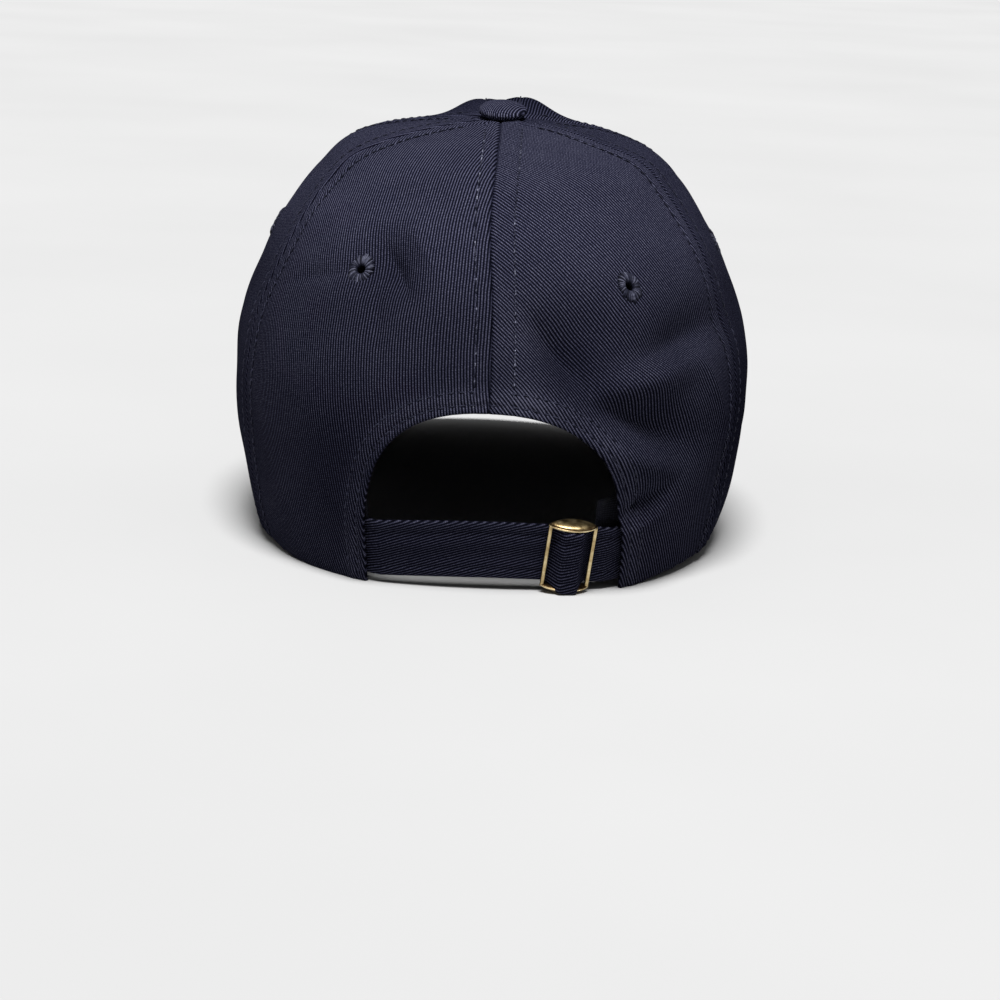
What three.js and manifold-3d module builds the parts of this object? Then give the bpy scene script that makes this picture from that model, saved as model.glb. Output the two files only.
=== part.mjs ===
// Six-panel cotton cap with a curved peak, an arched opening at the back and a strap in a metal slide buckle.
// Millimetres. +X is the wearer's right, +Y points forward over the peak, +Z up. The cap rests on z = 0.
// An azimuth is in degrees round the crown: 0 at the centre back, 90 at the wearer's right, 180 at the front.
// A level counts the rows of the CROWN table: 0 is its first row, and fractions lie between the rows.

import * as THREE from "three";
import { mergeVertices } from "three/addons/utils/BufferGeometryUtils.js";
import Module from "manifold-3d";

const wasm = await Module();
wasm.setup();

// Level sections of the crown, from below the rim to the top: height over the rim, half width, and half length
// to the back and to the front.
const CROWN = [
  { rise: -21, half: 71, back: 88, front: 85 },
  { rise: 0, half: 81.5, back: 101, front: 96 },
  { rise: 25, half: 87.5, back: 108, front: 100.5 },
  { rise: 50, half: 90, back: 109.5, front: 101 },
  { rise: 72, half: 88.5, back: 106, front: 98 },
  { rise: 91, half: 81.5, back: 96, front: 88 },
  { rise: 108, half: 73, back: 83.5, front: 79 },
  { rise: 121.5, half: 63.5, back: 70.5, front: 69 },
  { rise: 131.5, half: 52, back: 56, front: 56 },
  { rise: 138, half: 27, back: 28.5, front: 30 },
  { rise: 140.5, half: 0, back: 0, front: 0 },
];
const CROWN_TOP = 140.5;
const TOP_LEVEL = 9.9; // the panels stop at a small hole under the button
const ROUNDNESS = { back: 2.1, front: 2.35 }; // exponents of the level sections, 2 being an ellipse

// Dents and folds of the soft cloth: where the middle lies, the half lengths along and across, the turn of the
// crease from level in degrees, and how far the cloth is pushed out.
const FOLDS = [
  { name: "front puff right", azimuth: 166, rise: 137.6, along: 10, across: 16, turn: 0, push: 6.4 },
  { name: "front puff left", azimuth: -163, rise: 137.6, along: 8, across: 16, turn: 0, push: 5 },
  { name: "hollow at the left eyelet", azimuth: -26, rise: 101, along: 13, across: 10, turn: 0, push: -2.2 },
  { name: "slanting valley", azimuth: 12.7, rise: 82, along: 18, across: 7.5, turn: -52, push: -4 },
  { name: "slope over the slanting valley", azimuth: 19, rise: 87, along: 17, across: 11, turn: -50, push: -3.4 },
  { name: "climbing valley", azimuth: 40, rise: 81, along: 28, across: 8, turn: 9, push: -3.8 },
  { name: "ridge to the right side", azimuth: 33, rise: 72.5, along: 24, across: 7, turn: 9, push: 3.2 },
  { name: "falling valley", azimuth: 28.5, rise: 57, along: 22, across: 8, turn: -22, push: -4.4 },
  { name: "ridge by the opening", azimuth: 26.5, rise: 45.5, along: 20, across: 7.5, turn: -24, push: 2.8 },
  { name: "hollow of the left side", azimuth: -86, rise: 20, along: 24, across: 10, turn: 0, push: -2.4 },
  { name: "fullness of the right side", azimuth: 86, rise: 14, along: 24, across: 14, turn: 0, push: 1.3 },
];
const FOLD_DEPTH = 60; // a fold fades out this far through the cap, so it stays on its own side

const CLOTH = 1.4; // thickness of a panel
const GAP = 0.3; // between pieces that meet
const SEAM_AZIMUTHS = [-60, 0, 60, 120, 180, 240, 300];
const PANEL_NAMES = ["back_left", "back_right", "side_right", "front_right", "front_left", "side_left"];

// The arched opening: height over the rim, shape exponents, and for each side the half width and the spread of
// its lower corner, as azimuths.
const OPENING = { top: 62.5, across: 2.2, up: 4.5 };
const OPENING_SIDES = { left: { half: 20.5, flare: 2 }, right: { half: 21.5, flare: 6.5 } };

const EYELETS = [
  { panel: "back_left", azimuth: -31, rise: 101 },
  { panel: "back_right", azimuth: 29.5, rise: 99 },
  { panel: "side_right", azimuth: 90, rise: 101 },
  { panel: "front_right", azimuth: 150, rise: 101 },
  { panel: "front_left", azimuth: 210, rise: 101 },
  { panel: "side_left", azimuth: 270, rise: 101 },
];
const EYELET = { hole: 1.5, cut: 2.5, collar: 2.15, flange: 4.6 }; // radii

const BUTTON = { radius: 8.3, height: 4.8, stand: 0.5, tilt: 11 }; // it leans back

// The peak: its ends on the rim, how far forward it reaches, its thickness, its height at the middle of the front
// rim, its droop forward in degrees, and its bend radius from side to side.
const PEAK = { end: 118, reach: 168, thickness: 3, rise: 14, droop: 10, bend: 195, tuck: 2.4, fade: 88 };
const PEAK_BULGE = [107, 88]; // control points of the outline, from the side to the middle of the front
const PEAK_NOSE = [70, 168];

const BAND = { from: 22.8, to: 338.5, height: 31, lift: 1.2, thickness: 1.2, gap: 0.6 };
const BAND_POCKETS = [
  { from: 22.8, full: 40, to: 60, depth: 6.1 }, // makes room for the strap and the buckle's tab
  { from: -21.5, full: -38, to: -56, depth: 2.6 }, // makes room for the sewn end of the strap
];

// The strap: where it starts and ends, its lower edge, its cloth, and how it is pulled straight over the opening.
const STRAP = { from: -36, to: 41, bottom: 2.8, width: 19.8, thickness: 1.8, gap: 0.9 };
const STRAP_PULL = { middle: 2, span: 22, inset: 6, bow: 1.6, upright: 0.35 };

// The buckle, in its own frame: half width between the outer faces, the bars, and the lens-shaped end caps.
const BUCKLE = { azimuth: 16.7, half: 8.15, window: 21.3, bar: 1.3, barDepth: 1.5, middleBar: 0.6, stand: 2 };
const BUCKLE_CAP = { depth: 4, rim: 0.6, dome: 1.25 };
const STRAP_RISE = { half: 6.5, height: 5.7 }; // how the strap rises over the middle bar
const TAB = { loop: 1.8, thickness: 1.8, gap: 0.9, height: 12, tail: [19.4, 21.5, 24, 27, 30] };

const PRESS = { hem: 1.3, peak: 0.4 }; // how far the cloth flattens where it rests
const CORNER_DIP = { depth: 1.3, full: 28, none: 62 }; // the hem hangs lower beside the opening
const RIM_LIFT = { height: 1.6, from: 28, full: 42, fade: 60, none: 86 }; // the rim is higher on the right

const CLOTH_COLOUR = 0x1c1d2b;
const MATERIALS = {
  cloth: new THREE.MeshStandardMaterial({ color: CLOTH_COLOUR, roughness: 0.9, metalness: 0 }),
  thread: new THREE.MeshStandardMaterial({ color: 0x23253a, roughness: 0.7, metalness: 0 }),
  lining: new THREE.MeshStandardMaterial({ color: 0x15161f, roughness: 0.95, metalness: 0 }),
  brass: new THREE.MeshStandardMaterial({ color: 0x8f7c4e, roughness: 0.35, metalness: 1 }),
};

const radians = THREE.MathUtils.degToRad;
const lerp = THREE.MathUtils.lerp;

// A column of the CROWN table at a level, along a smooth curve through the rows.
function section(column, level) {
  const last = CROWN.length - 1;
  const value = (row) => {
    if (row < 0) return 2 * CROWN[0][column] - CROWN[1][column];
    if (row > last) return 2 * CROWN[last][column] - CROWN[last - 1][column];
    return CROWN[row][column];
  };
  const row = Math.min(Math.max(Math.floor(level), 0), last - 1);
  const f = level - row;
  const [a, b, c, d] = [value(row - 1), value(row), value(row + 1), value(row + 2)];
  return 0.5 * (2 * b + (c - a) * f + (2 * a - 5 * b + 4 * c - d) * f ** 2 + (3 * b - a - 3 * c + d) * f ** 3);
}

function levelOf(rise) {
  let low = 0;
  let high = CROWN.length - 1;
  for (let step = 0; step < 40; step++) {
    const middle = (low + high) / 2;
    if (section("rise", middle) < rise) low = middle;
    else high = middle;
  }
  return low;
}

// The crown before its dents and folds.
function plainCrown(azimuth, level) {
  const across = Math.sin(radians(azimuth));
  const back = Math.cos(radians(azimuth));
  const power = back > 0 ? ROUNDNESS.back : ROUNDNESS.front;
  const length = section(back > 0 ? "back" : "front", level);
  const sum = (Math.abs(across) / section("half", level)) ** power + (Math.abs(back) / length) ** power;
  const radius = sum ** (-1 / power);
  return new THREE.Vector3(radius * across, -radius * back, section("rise", level));
}

// Axes of a surface at a place: round the crown, up it, and out of it.
function axesOf(surface, azimuth, level) {
  const round = surface(azimuth + 0.5, level).sub(surface(azimuth - 0.5, level)).normalize();
  const along = surface(azimuth, level + 0.02).sub(surface(azimuth, level - 0.02));
  const out = new THREE.Vector3().crossVectors(round, along).normalize();
  return { round, up: new THREE.Vector3().crossVectors(out, round), out };
}

const foldFrames = FOLDS.map((fold) => {
  const level = levelOf(fold.rise);
  const { round, up, out } = axesOf(plainCrown, fold.azimuth, level);
  const turn = radians(fold.turn);
  const along = round.clone().multiplyScalar(Math.cos(turn)).addScaledVector(up, Math.sin(turn));
  const across = up.clone().multiplyScalar(Math.cos(turn)).addScaledVector(round, -Math.sin(turn));
  return { ...fold, middle: plainCrown(fold.azimuth, level), axes: [along, across, out] };
});

// How far the dents and folds push the cloth out at a point of the plain crown.
function foldPush(point) {
  let push = 0;
  for (const fold of foldFrames) {
    const away = point.clone().sub(fold.middle);
    const spread = [fold.along, fold.across, FOLD_DEPTH];
    const distance = fold.axes.reduce((sum, axis, k) => sum + (away.dot(axis) / spread[k]) ** 2, 0);
    push += fold.push * Math.exp(-distance);
  }
  return push;
}

// A point of the crown, at a depth under its outer face.
function crownPoint(azimuth, level, depth = 0) {
  const point = plainCrown(azimuth, level);
  const { out } = axesOf(plainCrown, azimuth, level);
  return point.addScaledVector(out, foldPush(point) - depth);
}

// The top face of the peak, over the whole plane.
const FRONT_RIM = section("front", levelOf(0));
function peakTop(x, y) {
  return PEAK.rise - Math.tan(radians(PEAK.droop)) * (y - FRONT_RIM) - x ** 2 / (2 * PEAK.bend);
}

// Height of the crown's rim: lower beside the opening, higher on the right, and lying on the peak at the front.
function rimRise(azimuth) {
  const { smoothstep } = THREE.MathUtils;
  const turn = ((azimuth % 360) + 360) % 360;
  const fromBack = 180 - Math.abs(turn - 180);
  const share = smoothstep(fromBack, PEAK.fade, PEAK.end - 5);
  if (share === 0) {
    const dip = CORNER_DIP.depth * (smoothstep(fromBack, CORNER_DIP.full, CORNER_DIP.none) - 1);
    const start = smoothstep(fromBack, RIM_LIFT.from, RIM_LIFT.full);
    const end = 1 - smoothstep(fromBack, RIM_LIFT.fade, RIM_LIFT.none);
    return dip + (turn < 180 ? RIM_LIFT.height * start * end : 0);
  }
  let rise = 0;
  for (let step = 0; step < 4; step++) {
    const { x, y } = plainCrown(azimuth, levelOf(rise));
    rise = peakTop(x, y) + GAP;
  }
  return share * rise;
}

// The edge of the opening on one side, from the rim to the top of the arch.
function openingEdge(side, share) {
  const { half, flare } = OPENING_SIDES[side];
  const up = Math.sin((share * Math.PI) / 2) ** 0.8;
  const wide = Math.max(1 - up ** OPENING.up, 0) ** (1 / OPENING.across);
  const azimuth = half * wide + flare * (1 - up);
  const rise = lerp(-CORNER_DIP.depth, OPENING.top, up);
  return { azimuth: side === "left" ? -azimuth : azimuth, level: levelOf(rise) };
}

// Points at equal steps along the edge of the opening.
function openingSteps(side, count) {
  const fine = Array.from({ length: 201 }, (_, k) => openingEdge(side, k / 200));
  const curve = new THREE.CurvePath();
  const places = fine.map(({ azimuth, level }) => plainCrown(azimuth, level));
  for (let k = 1; k < places.length; k++) curve.add(new THREE.LineCurve3(places[k - 1], places[k]));
  const lengths = [0, ...curve.getCurveLengths()];
  return Array.from({ length: count + 1 }, (_, step) => {
    const target = (lengths[200] * step) / count;
    const k = Math.min(lengths.findIndex((length) => length >= target - 1e-9), 200);
    if (k === 0) return fine[0];
    const share = (target - lengths[k - 1]) / (lengths[k] - lengths[k - 1]);
    return {
      azimuth: lerp(fine[k - 1].azimuth, fine[k].azimuth, share),
      level: lerp(fine[k - 1].level, fine[k].level, share),
    };
  });
}

// The lower edge of a panel, from its first seam to its second.
const RIM_STEPS = 12;
const ARCH_STEPS = 13;
const CORNER_STEPS = 7;
const PANEL_ROWS = 14;
function lowerEdge(from, to) {
  const rim = (start, end, count) =>
    Array.from({ length: count + 1 }, (_, k) => {
      const azimuth = lerp(start, end, k / count);
      return { azimuth, level: levelOf(rimRise(azimuth)) };
    });
  if (from === 0) {
    const arch = openingSteps("right", ARCH_STEPS).reverse();
    return [...arch, ...rim(arch[ARCH_STEPS].azimuth, to, CORNER_STEPS).slice(1)];
  }
  if (to === 0) {
    const arch = openingSteps("left", ARCH_STEPS);
    return [...rim(from, arch[0].azimuth, CORNER_STEPS), ...arch.slice(1)];
  }
  return rim(from, to, RIM_STEPS);
}

// A closed mesh from points and triangles.
function geometryOf(positions, index) {
  const geometry = new THREE.BufferGeometry();
  geometry.setAttribute("position", new THREE.Float32BufferAttribute(positions, 3));
  geometry.setIndex(index);
  geometry.computeVertexNormals();
  return geometry;
}

// A closed sheet: an outer grid of points (side 0) and an inner one (side 1), joined round their edges.
function sheet(columns, rows, point) {
  const positions = [];
  const index = [];
  for (const side of [0, 1]) {
    for (let j = 0; j <= rows; j++) {
      for (let i = 0; i <= columns; i++) positions.push(...point(i, j, side).toArray());
    }
  }
  const id = (side, i, j) => (side * (rows + 1) + j) * (columns + 1) + i;
  const quad = (a, b, c, d) => index.push(a, b, c, a, c, d);
  for (let j = 0; j < rows; j++) {
    for (let i = 0; i < columns; i++) {
      quad(id(0, i, j), id(0, i + 1, j), id(0, i + 1, j + 1), id(0, i, j + 1));
      quad(id(1, i, j), id(1, i, j + 1), id(1, i + 1, j + 1), id(1, i + 1, j));
    }
  }
  for (let i = 0; i < columns; i++) {
    quad(id(1, i, 0), id(1, i + 1, 0), id(0, i + 1, 0), id(0, i, 0));
    quad(id(0, i, rows), id(0, i + 1, rows), id(1, i + 1, rows), id(1, i, rows));
  }
  for (let j = 0; j < rows; j++) {
    quad(id(0, 0, j), id(0, 0, j + 1), id(1, 0, j + 1), id(1, 0, j));
    quad(id(1, columns, j), id(1, columns, j + 1), id(0, columns, j + 1), id(0, columns, j));
  }
  return geometryOf(positions, index);
}

function solidOf(geometry) {
  const bare = geometry.clone();
  bare.deleteAttribute("normal");
  bare.deleteAttribute("uv");
  const merged = mergeVertices(bare, 1e-4);
  return new wasm.Manifold(
    new wasm.Mesh({
      numProp: 3,
      vertProperties: new Float32Array(merged.attributes.position.array),
      triVerts: new Uint32Array(merged.index.array),
    }),
  );
}

function geometryFrom(solid) {
  const { vertProperties, triVerts } = solid.getMesh();
  return geometryOf(Array.from(vertProperties), Array.from(triVerts));
}

// The peak's edges, from the wearer's left (share 0) to the right (share 1).
const peakEnd = crownPoint(PEAK.end, levelOf(rimRise(PEAK.end)), -2.5);
const peakOutline = new THREE.CubicBezierCurve(
  new THREE.Vector2(peakEnd.x, peakEnd.y),
  new THREE.Vector2(...PEAK_BULGE),
  new THREE.Vector2(...PEAK_NOSE),
  new THREE.Vector2(0, PEAK.reach),
);
function peakPoint(across, forward, side) {
  const azimuth = lerp(360 - PEAK.end, PEAK.end, across);
  const inner = crownPoint(azimuth, levelOf(rimRise(azimuth)), PEAK.tuck);
  const outer = peakOutline.getPoint(1 - Math.abs(2 * across - 1));
  if (across < 0.5) outer.x *= -1;
  const x = lerp(inner.x, outer.x, forward);
  const y = lerp(inner.y, outer.y, forward);
  return new THREE.Vector3(x, y, peakTop(x, y) - side * PEAK.thickness);
}

// The cap tips forward until the back corners of the hem and the sides of the peak touch the same floor.
function restingPlace() {
  const corners = ["left", "right"].map((side) => {
    const { azimuth, level } = openingEdge(side, 0);
    return crownPoint(azimuth, level);
  });
  const edge = Array.from({ length: 101 }, (_, k) => peakPoint(k / 100, 1, 1));
  const lowest = (points, tilt) => Math.min(...points.map((p) => p.z * Math.cos(tilt) + p.y * Math.sin(tilt)));
  let low = 0;
  let high = radians(10);
  for (let step = 0; step < 40; step++) {
    const tilt = (low + high) / 2;
    if (lowest(edge, tilt) + PRESS.peak < lowest(corners, tilt) + PRESS.hem) low = tilt;
    else high = tilt;
  }
  return { tilt: low, lift: -lowest(corners, low) - PRESS.hem };
}
const rest = restingPlace();

// Cloth is flattened where it would sink under the floor.
function onFloor(point) {
  const floor = -(rest.lift + point.y * Math.sin(rest.tilt)) / Math.cos(rest.tilt);
  point.z = Math.max(point.z, floor);
  return point;
}

// Where a small piece sits on the crown: its own Y axis points out of the cloth and its X axis round the crown.
function seatOn(azimuth, level) {
  const { round, out } = axesOf(crownPoint, azimuth, level);
  const side = new THREE.Vector3().crossVectors(round, out);
  const turn = new THREE.Matrix4().makeBasis(round, out, side);
  return turn.setPosition(crownPoint(azimuth, level));
}

const cap = new THREE.Group();
cap.rotation.x = rest.tilt;
cap.position.z = rest.lift;

function addPiece(name, geometry, material, seat = new THREE.Matrix4()) {
  const mesh = new THREE.Mesh(geometry, MATERIALS[material]);
  mesh.name = name;
  seat.decompose(mesh.position, mesh.quaternion, mesh.scale);
  cap.add(mesh);
}

function panelGeometry(from, to) {
  const edge = lowerEdge(from, to);
  const columns = edge.length - 1;
  return sheet(columns, PANEL_ROWS, (i, j, side) => {
    const across = i / columns;
    const up = j / PANEL_ROWS;
    const level = lerp(edge[i].level, TOP_LEVEL, up);
    const seam = lerp(edge[i].azimuth, lerp(from, to, across), up);
    const { x, y } = plainCrown(seam, level);
    const inset = THREE.MathUtils.radToDeg(GAP / 2 / Math.hypot(x, y));
    return onFloor(crownPoint(seam + inset * (1 - 2 * across), level, side * CLOTH));
  });
}

PANEL_NAMES.forEach((name, k) => {
  let panel = solidOf(panelGeometry(SEAM_AZIMUTHS[k], SEAM_AZIMUTHS[k + 1]));
  for (const { azimuth, rise } of EYELETS.filter((eyelet) => eyelet.panel === name)) {
    const hole = new THREE.CylinderGeometry(EYELET.cut, EYELET.cut, 8, 12);
    panel = panel.subtract(solidOf(hole.applyMatrix4(seatOn(azimuth, levelOf(rise)))));
  }
  addPiece(`panel_${name}`, geometryFrom(panel), "cloth");
});

// An eyelet is a sewn ring: a collar through the cloth and a rounded flange on its outer face.
const eyeletProfile = [
  [EYELET.hole, -CLOTH],
  [EYELET.collar, -CLOTH],
  [EYELET.collar, GAP + 0.15],
  [EYELET.flange, GAP + 0.15],
  [EYELET.flange - 0.4, 0.9],
  [(EYELET.flange + EYELET.hole) / 2, 1.2],
  [EYELET.hole, 0.8],
  [EYELET.hole, -CLOTH],
].map(([radius, height]) => new THREE.Vector2(radius, height));
for (const { panel, azimuth, rise } of EYELETS) {
  const ring = new THREE.LatheGeometry(eyeletProfile, 12);
  addPiece(`eyelet_${panel}`, ring, "thread", seatOn(azimuth, levelOf(rise)));
}

// The button: a domed disc with a short shank in the hole where the panels meet.
const buttonProfile = [
  [0, -CLOTH],
  [1.4, -CLOTH],
  [1.4, 0.9],
  [BUTTON.radius - 0.6, 0.9],
  [BUTTON.radius, 1.6],
  [BUTTON.radius - 0.5, 0.62 * BUTTON.height],
  [0.62 * BUTTON.radius, 0.9 * BUTTON.height],
  [0, BUTTON.height],
].map(([radius, height]) => new THREE.Vector2(radius, height));
const buttonRise = CROWN_TOP + foldPush(plainCrown(0, TOP_LEVEL)) + BUTTON.stand;
const buttonSeat = new THREE.Matrix4().makeRotationX(radians(90 + BUTTON.tilt)).setPosition(0, 0, buttonRise);
addPiece("button", new THREE.LatheGeometry(buttonProfile, 20), "cloth", buttonSeat);

const PEAK_COLUMNS = 26;
const PEAK_ROWS = 5;
addPiece(
  "peak",
  sheet(PEAK_COLUMNS, PEAK_ROWS, (i, j, side) => onFloor(peakPoint(i / PEAK_COLUMNS, j / PEAK_ROWS, side))),
  "cloth",
);

// The inner band runs round the rim from one side of the opening to the other, and stands off at the strap's ends.
function pocketDepth(azimuth) {
  const signed = azimuth > 180 ? azimuth - 360 : azimuth;
  return BAND_POCKETS.reduce((sum, { from, full, to, depth }) => {
    if (Math.sign(signed) !== Math.sign(from)) return sum;
    return sum + depth * (1 - THREE.MathUtils.smoothstep(Math.abs(signed), Math.abs(full), Math.abs(to)));
  }, 0);
}
const BAND_COLUMNS = 60;
const BAND_ROWS = 2;
addPiece(
  "sweatband",
  sheet(BAND_COLUMNS, BAND_ROWS, (i, j, side) => {
    const azimuth = lerp(BAND.from, BAND.to, i / BAND_COLUMNS);
    const level = levelOf(rimRise(azimuth) + lerp(BAND.lift, BAND.height, j / BAND_ROWS));
    return onFloor(crownPoint(azimuth, level, CLOTH + BAND.gap + pocketDepth(azimuth) + side * BAND.thickness));
  }),
  "lining",
);

// The strap's middle layer before it rises over the buckle's middle bar: it follows the panels at its ends, and is
// pulled straight and upright between them. `up` runs from -0.5 at its lower edge to 0.5 at its upper edge.
function flatStrap(azimuth, up) {
  const across = (azimuth - STRAP_PULL.middle) / STRAP_PULL.span;
  const pull = Math.max(1 - across ** 2, 0);
  const depth = CLOTH + STRAP.gap + STRAP.thickness / 2 + STRAP_PULL.inset * pull;
  const middle = STRAP.bottom + STRAP.width / 2;
  const level = levelOf(middle + STRAP.width * up * (1 - STRAP_PULL.upright * pull));
  const point = plainCrown(azimuth, level).addScaledVector(axesOf(plainCrown, azimuth, level).out, -depth);
  return point.setZ(middle + STRAP.width * up + STRAP_PULL.bow * pull);
}

// The buckle's frame: X along the strap, Y up across it, Z out of it.
const buckleAxes = axesOf(flatStrap, BUCKLE.azimuth, 0);
const buckleMiddle = flatStrap(BUCKLE.azimuth, 0);
const buckleSeat = new THREE.Matrix4()
  .makeBasis(buckleAxes.round, buckleAxes.up, buckleAxes.out)
  .setPosition(buckleMiddle.clone().addScaledVector(buckleAxes.out, BUCKLE.stand));

const STRAP_COLUMNS = 72;
const STRAP_ROWS = 2;
addPiece(
  "strap",
  sheet(STRAP_COLUMNS, STRAP_ROWS, (i, j, side) => {
    const azimuth = lerp(STRAP.from, STRAP.to, i / STRAP_COLUMNS);
    const up = j / STRAP_ROWS - 0.5;
    const point = flatStrap(azimuth, up);
    const away = point.clone().sub(buckleMiddle).dot(buckleAxes.round) / STRAP_RISE.half;
    const rise = Math.abs(away) < 1 ? STRAP_RISE.height * Math.cos((away * Math.PI) / 2) ** 2 : 0;
    const { out } = axesOf(flatStrap, azimuth, up);
    return point.addScaledVector(out, rise + (0.5 - side) * STRAP.thickness);
  }),
  "cloth",
);

// An end cap: a flat rim with a lens-shaped outline, and a low dome on it that points along `up`.
const CAP_POINTS = 24;
const CAP_RINGS = 4;
function endCap(up) {
  const positions = [];
  const index = [];
  const base = BUCKLE.window / 2;
  const ring = (scale, height) => {
    for (let k = 0; k < CAP_POINTS; k++) {
      const angle = (2 * Math.PI * k) / CAP_POINTS;
      const x = BUCKLE.half * Math.cos(angle);
      const z = BUCKLE_CAP.depth * Math.sin(angle) * Math.abs(Math.sin(angle)) ** 0.5;
      positions.push(scale * x, up * (base + height), scale * z);
    }
  };
  ring(1, 0);
  for (let k = 0; k < CAP_RINGS; k++) {
    const angle = (Math.PI / 2) * (k / CAP_RINGS);
    ring(Math.cos(angle), BUCKLE_CAP.rim + BUCKLE_CAP.dome * Math.sin(angle));
  }
  positions.push(0, up * base, 0, 0, up * (base + BUCKLE_CAP.rim + BUCKLE_CAP.dome), 0);
  const bottom = positions.length / 3 - 2;
  const triangle = (a, b, c) => (up > 0 ? index.push(a, c, b) : index.push(a, b, c));
  for (let k = 0; k < CAP_POINTS; k++) {
    const next = (k + 1) % CAP_POINTS;
    triangle(bottom, next, k);
    for (let r = 0; r < CAP_RINGS; r++) {
      const [low, high] = [r * CAP_POINTS, (r + 1) * CAP_POINTS];
      triangle(low + k, low + next, high + next);
      triangle(low + k, high + next, high + k);
    }
    triangle(CAP_RINGS * CAP_POINTS + k, CAP_RINGS * CAP_POINTS + next, bottom + 1);
  }
  return geometryOf(positions, index);
}

function buckleGeometry() {
  let buckle = solidOf(endCap(1)).add(solidOf(endCap(-1)));
  const length = BUCKLE.window + 2 * BUCKLE_CAP.rim;
  for (const side of [-1, 1]) {
    const bar = new THREE.BoxGeometry(BUCKLE.bar, length, BUCKLE.barDepth);
    bar.translate(side * (BUCKLE.half - BUCKLE.bar / 2 - 0.1), 0, 0);
    buckle = buckle.add(solidOf(bar));
  }
  const middleBar = new THREE.CylinderGeometry(BUCKLE.middleBar, BUCKLE.middleBar, length, 8);
  return geometryFrom(buckle.add(solidOf(middleBar)));
}
addPiece("buckle", buckleGeometry(), "brass", buckleSeat);

// The tab: a loop round the middle bar, whose tail follows the inner face of the strap under the right panel.
function tabGeometry() {
  const half = TAB.thickness / 2;
  const toBuckle = buckleSeat.clone().invert();
  const tail = TAB.tail.map((azimuth) => {
    const { x, z } = flatStrap(azimuth, 0).applyMatrix4(toBuckle);
    return [x, z - STRAP.thickness / 2 - TAB.gap - half];
  });
  const shape = new THREE.Shape();
  shape.absarc(0, 0, TAB.loop, Math.PI / 2, (3 * Math.PI) / 2);
  for (const [x, z] of tail) shape.lineTo(x, z - half);
  for (const [x, z] of tail.reverse()) shape.lineTo(x, z + half);
  shape.closePath();
  shape.holes.push(new THREE.Path().absarc(0, 0, BUCKLE.middleBar + GAP, 0, 2 * Math.PI, true));
  const tab = new THREE.ExtrudeGeometry(shape, { depth: TAB.height, bevelEnabled: false, curveSegments: 8 });
  return tab.translate(0, 0, -TAB.height / 2).rotateX(Math.PI / 2);
}
addPiece("buckle_tab", tabGeometry(), "cloth", buckleSeat);

// The origin lies on the floor under the middle of the whole cap.
const middle = new THREE.Box3().setFromObject(cap, true).getCenter(new THREE.Vector3());
cap.position.x -= middle.x;
cap.position.y -= middle.y;

export default cap;
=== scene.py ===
# Looks of a six-panel cotton cap with a curved peak and a strap in a metal slide buckle.
# Shapes are worked out in millimetres in the crown's own frame, where the rim is level at height 0, and are
# then placed as the cap rests on the floor. An azimuth is in degrees round the crown: 0 at the centre back,
# 90 at the wearer's right, 180 at the front. A level counts the rows of the CROWN table.
import math

import bpy
import numpy as np
from mathutils import Matrix, Vector
from mathutils.kdtree import KDTree


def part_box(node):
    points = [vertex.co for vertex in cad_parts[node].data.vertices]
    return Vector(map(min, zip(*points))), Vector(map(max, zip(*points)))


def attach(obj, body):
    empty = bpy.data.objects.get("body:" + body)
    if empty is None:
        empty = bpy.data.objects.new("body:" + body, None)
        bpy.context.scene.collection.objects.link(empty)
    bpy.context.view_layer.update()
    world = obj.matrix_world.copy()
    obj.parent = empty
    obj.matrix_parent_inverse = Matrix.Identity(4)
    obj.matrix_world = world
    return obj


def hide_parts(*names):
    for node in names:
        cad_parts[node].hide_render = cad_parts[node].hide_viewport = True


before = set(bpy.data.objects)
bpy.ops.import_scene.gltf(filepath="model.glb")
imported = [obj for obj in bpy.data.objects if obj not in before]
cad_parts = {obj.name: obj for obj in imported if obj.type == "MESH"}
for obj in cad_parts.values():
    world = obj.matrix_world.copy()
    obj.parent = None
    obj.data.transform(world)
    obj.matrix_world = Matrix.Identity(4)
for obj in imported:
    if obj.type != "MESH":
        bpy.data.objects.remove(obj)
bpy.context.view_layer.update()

MM = 0.001

# Level sections of the crown: height over the rim, half width, half length to the back and to the front.
CROWN_COLUMNS = ("rise", "half", "back", "front")
CROWN_ROWS = [
    (-21, 71, 88, 85),
    (0, 81.5, 101, 96),
    (25, 87.5, 108, 100.5),
    (50, 90, 109.5, 101),
    (72, 88.5, 106, 98),
    (91, 81.5, 96, 88),
    (108, 73, 83.5, 79),
    (121.5, 63.5, 70.5, 69),
    (131.5, 52, 56, 56),
    (138, 27, 28.5, 30),
    (140.5, 0, 0, 0),
]
CROWN = dict(zip(CROWN_COLUMNS, np.array(CROWN_ROWS, float).T))
TOP_LEVEL = 9.9  # where the panels end, under the button
ROUNDNESS = {"back": 2.1, "front": 2.35}

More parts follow.
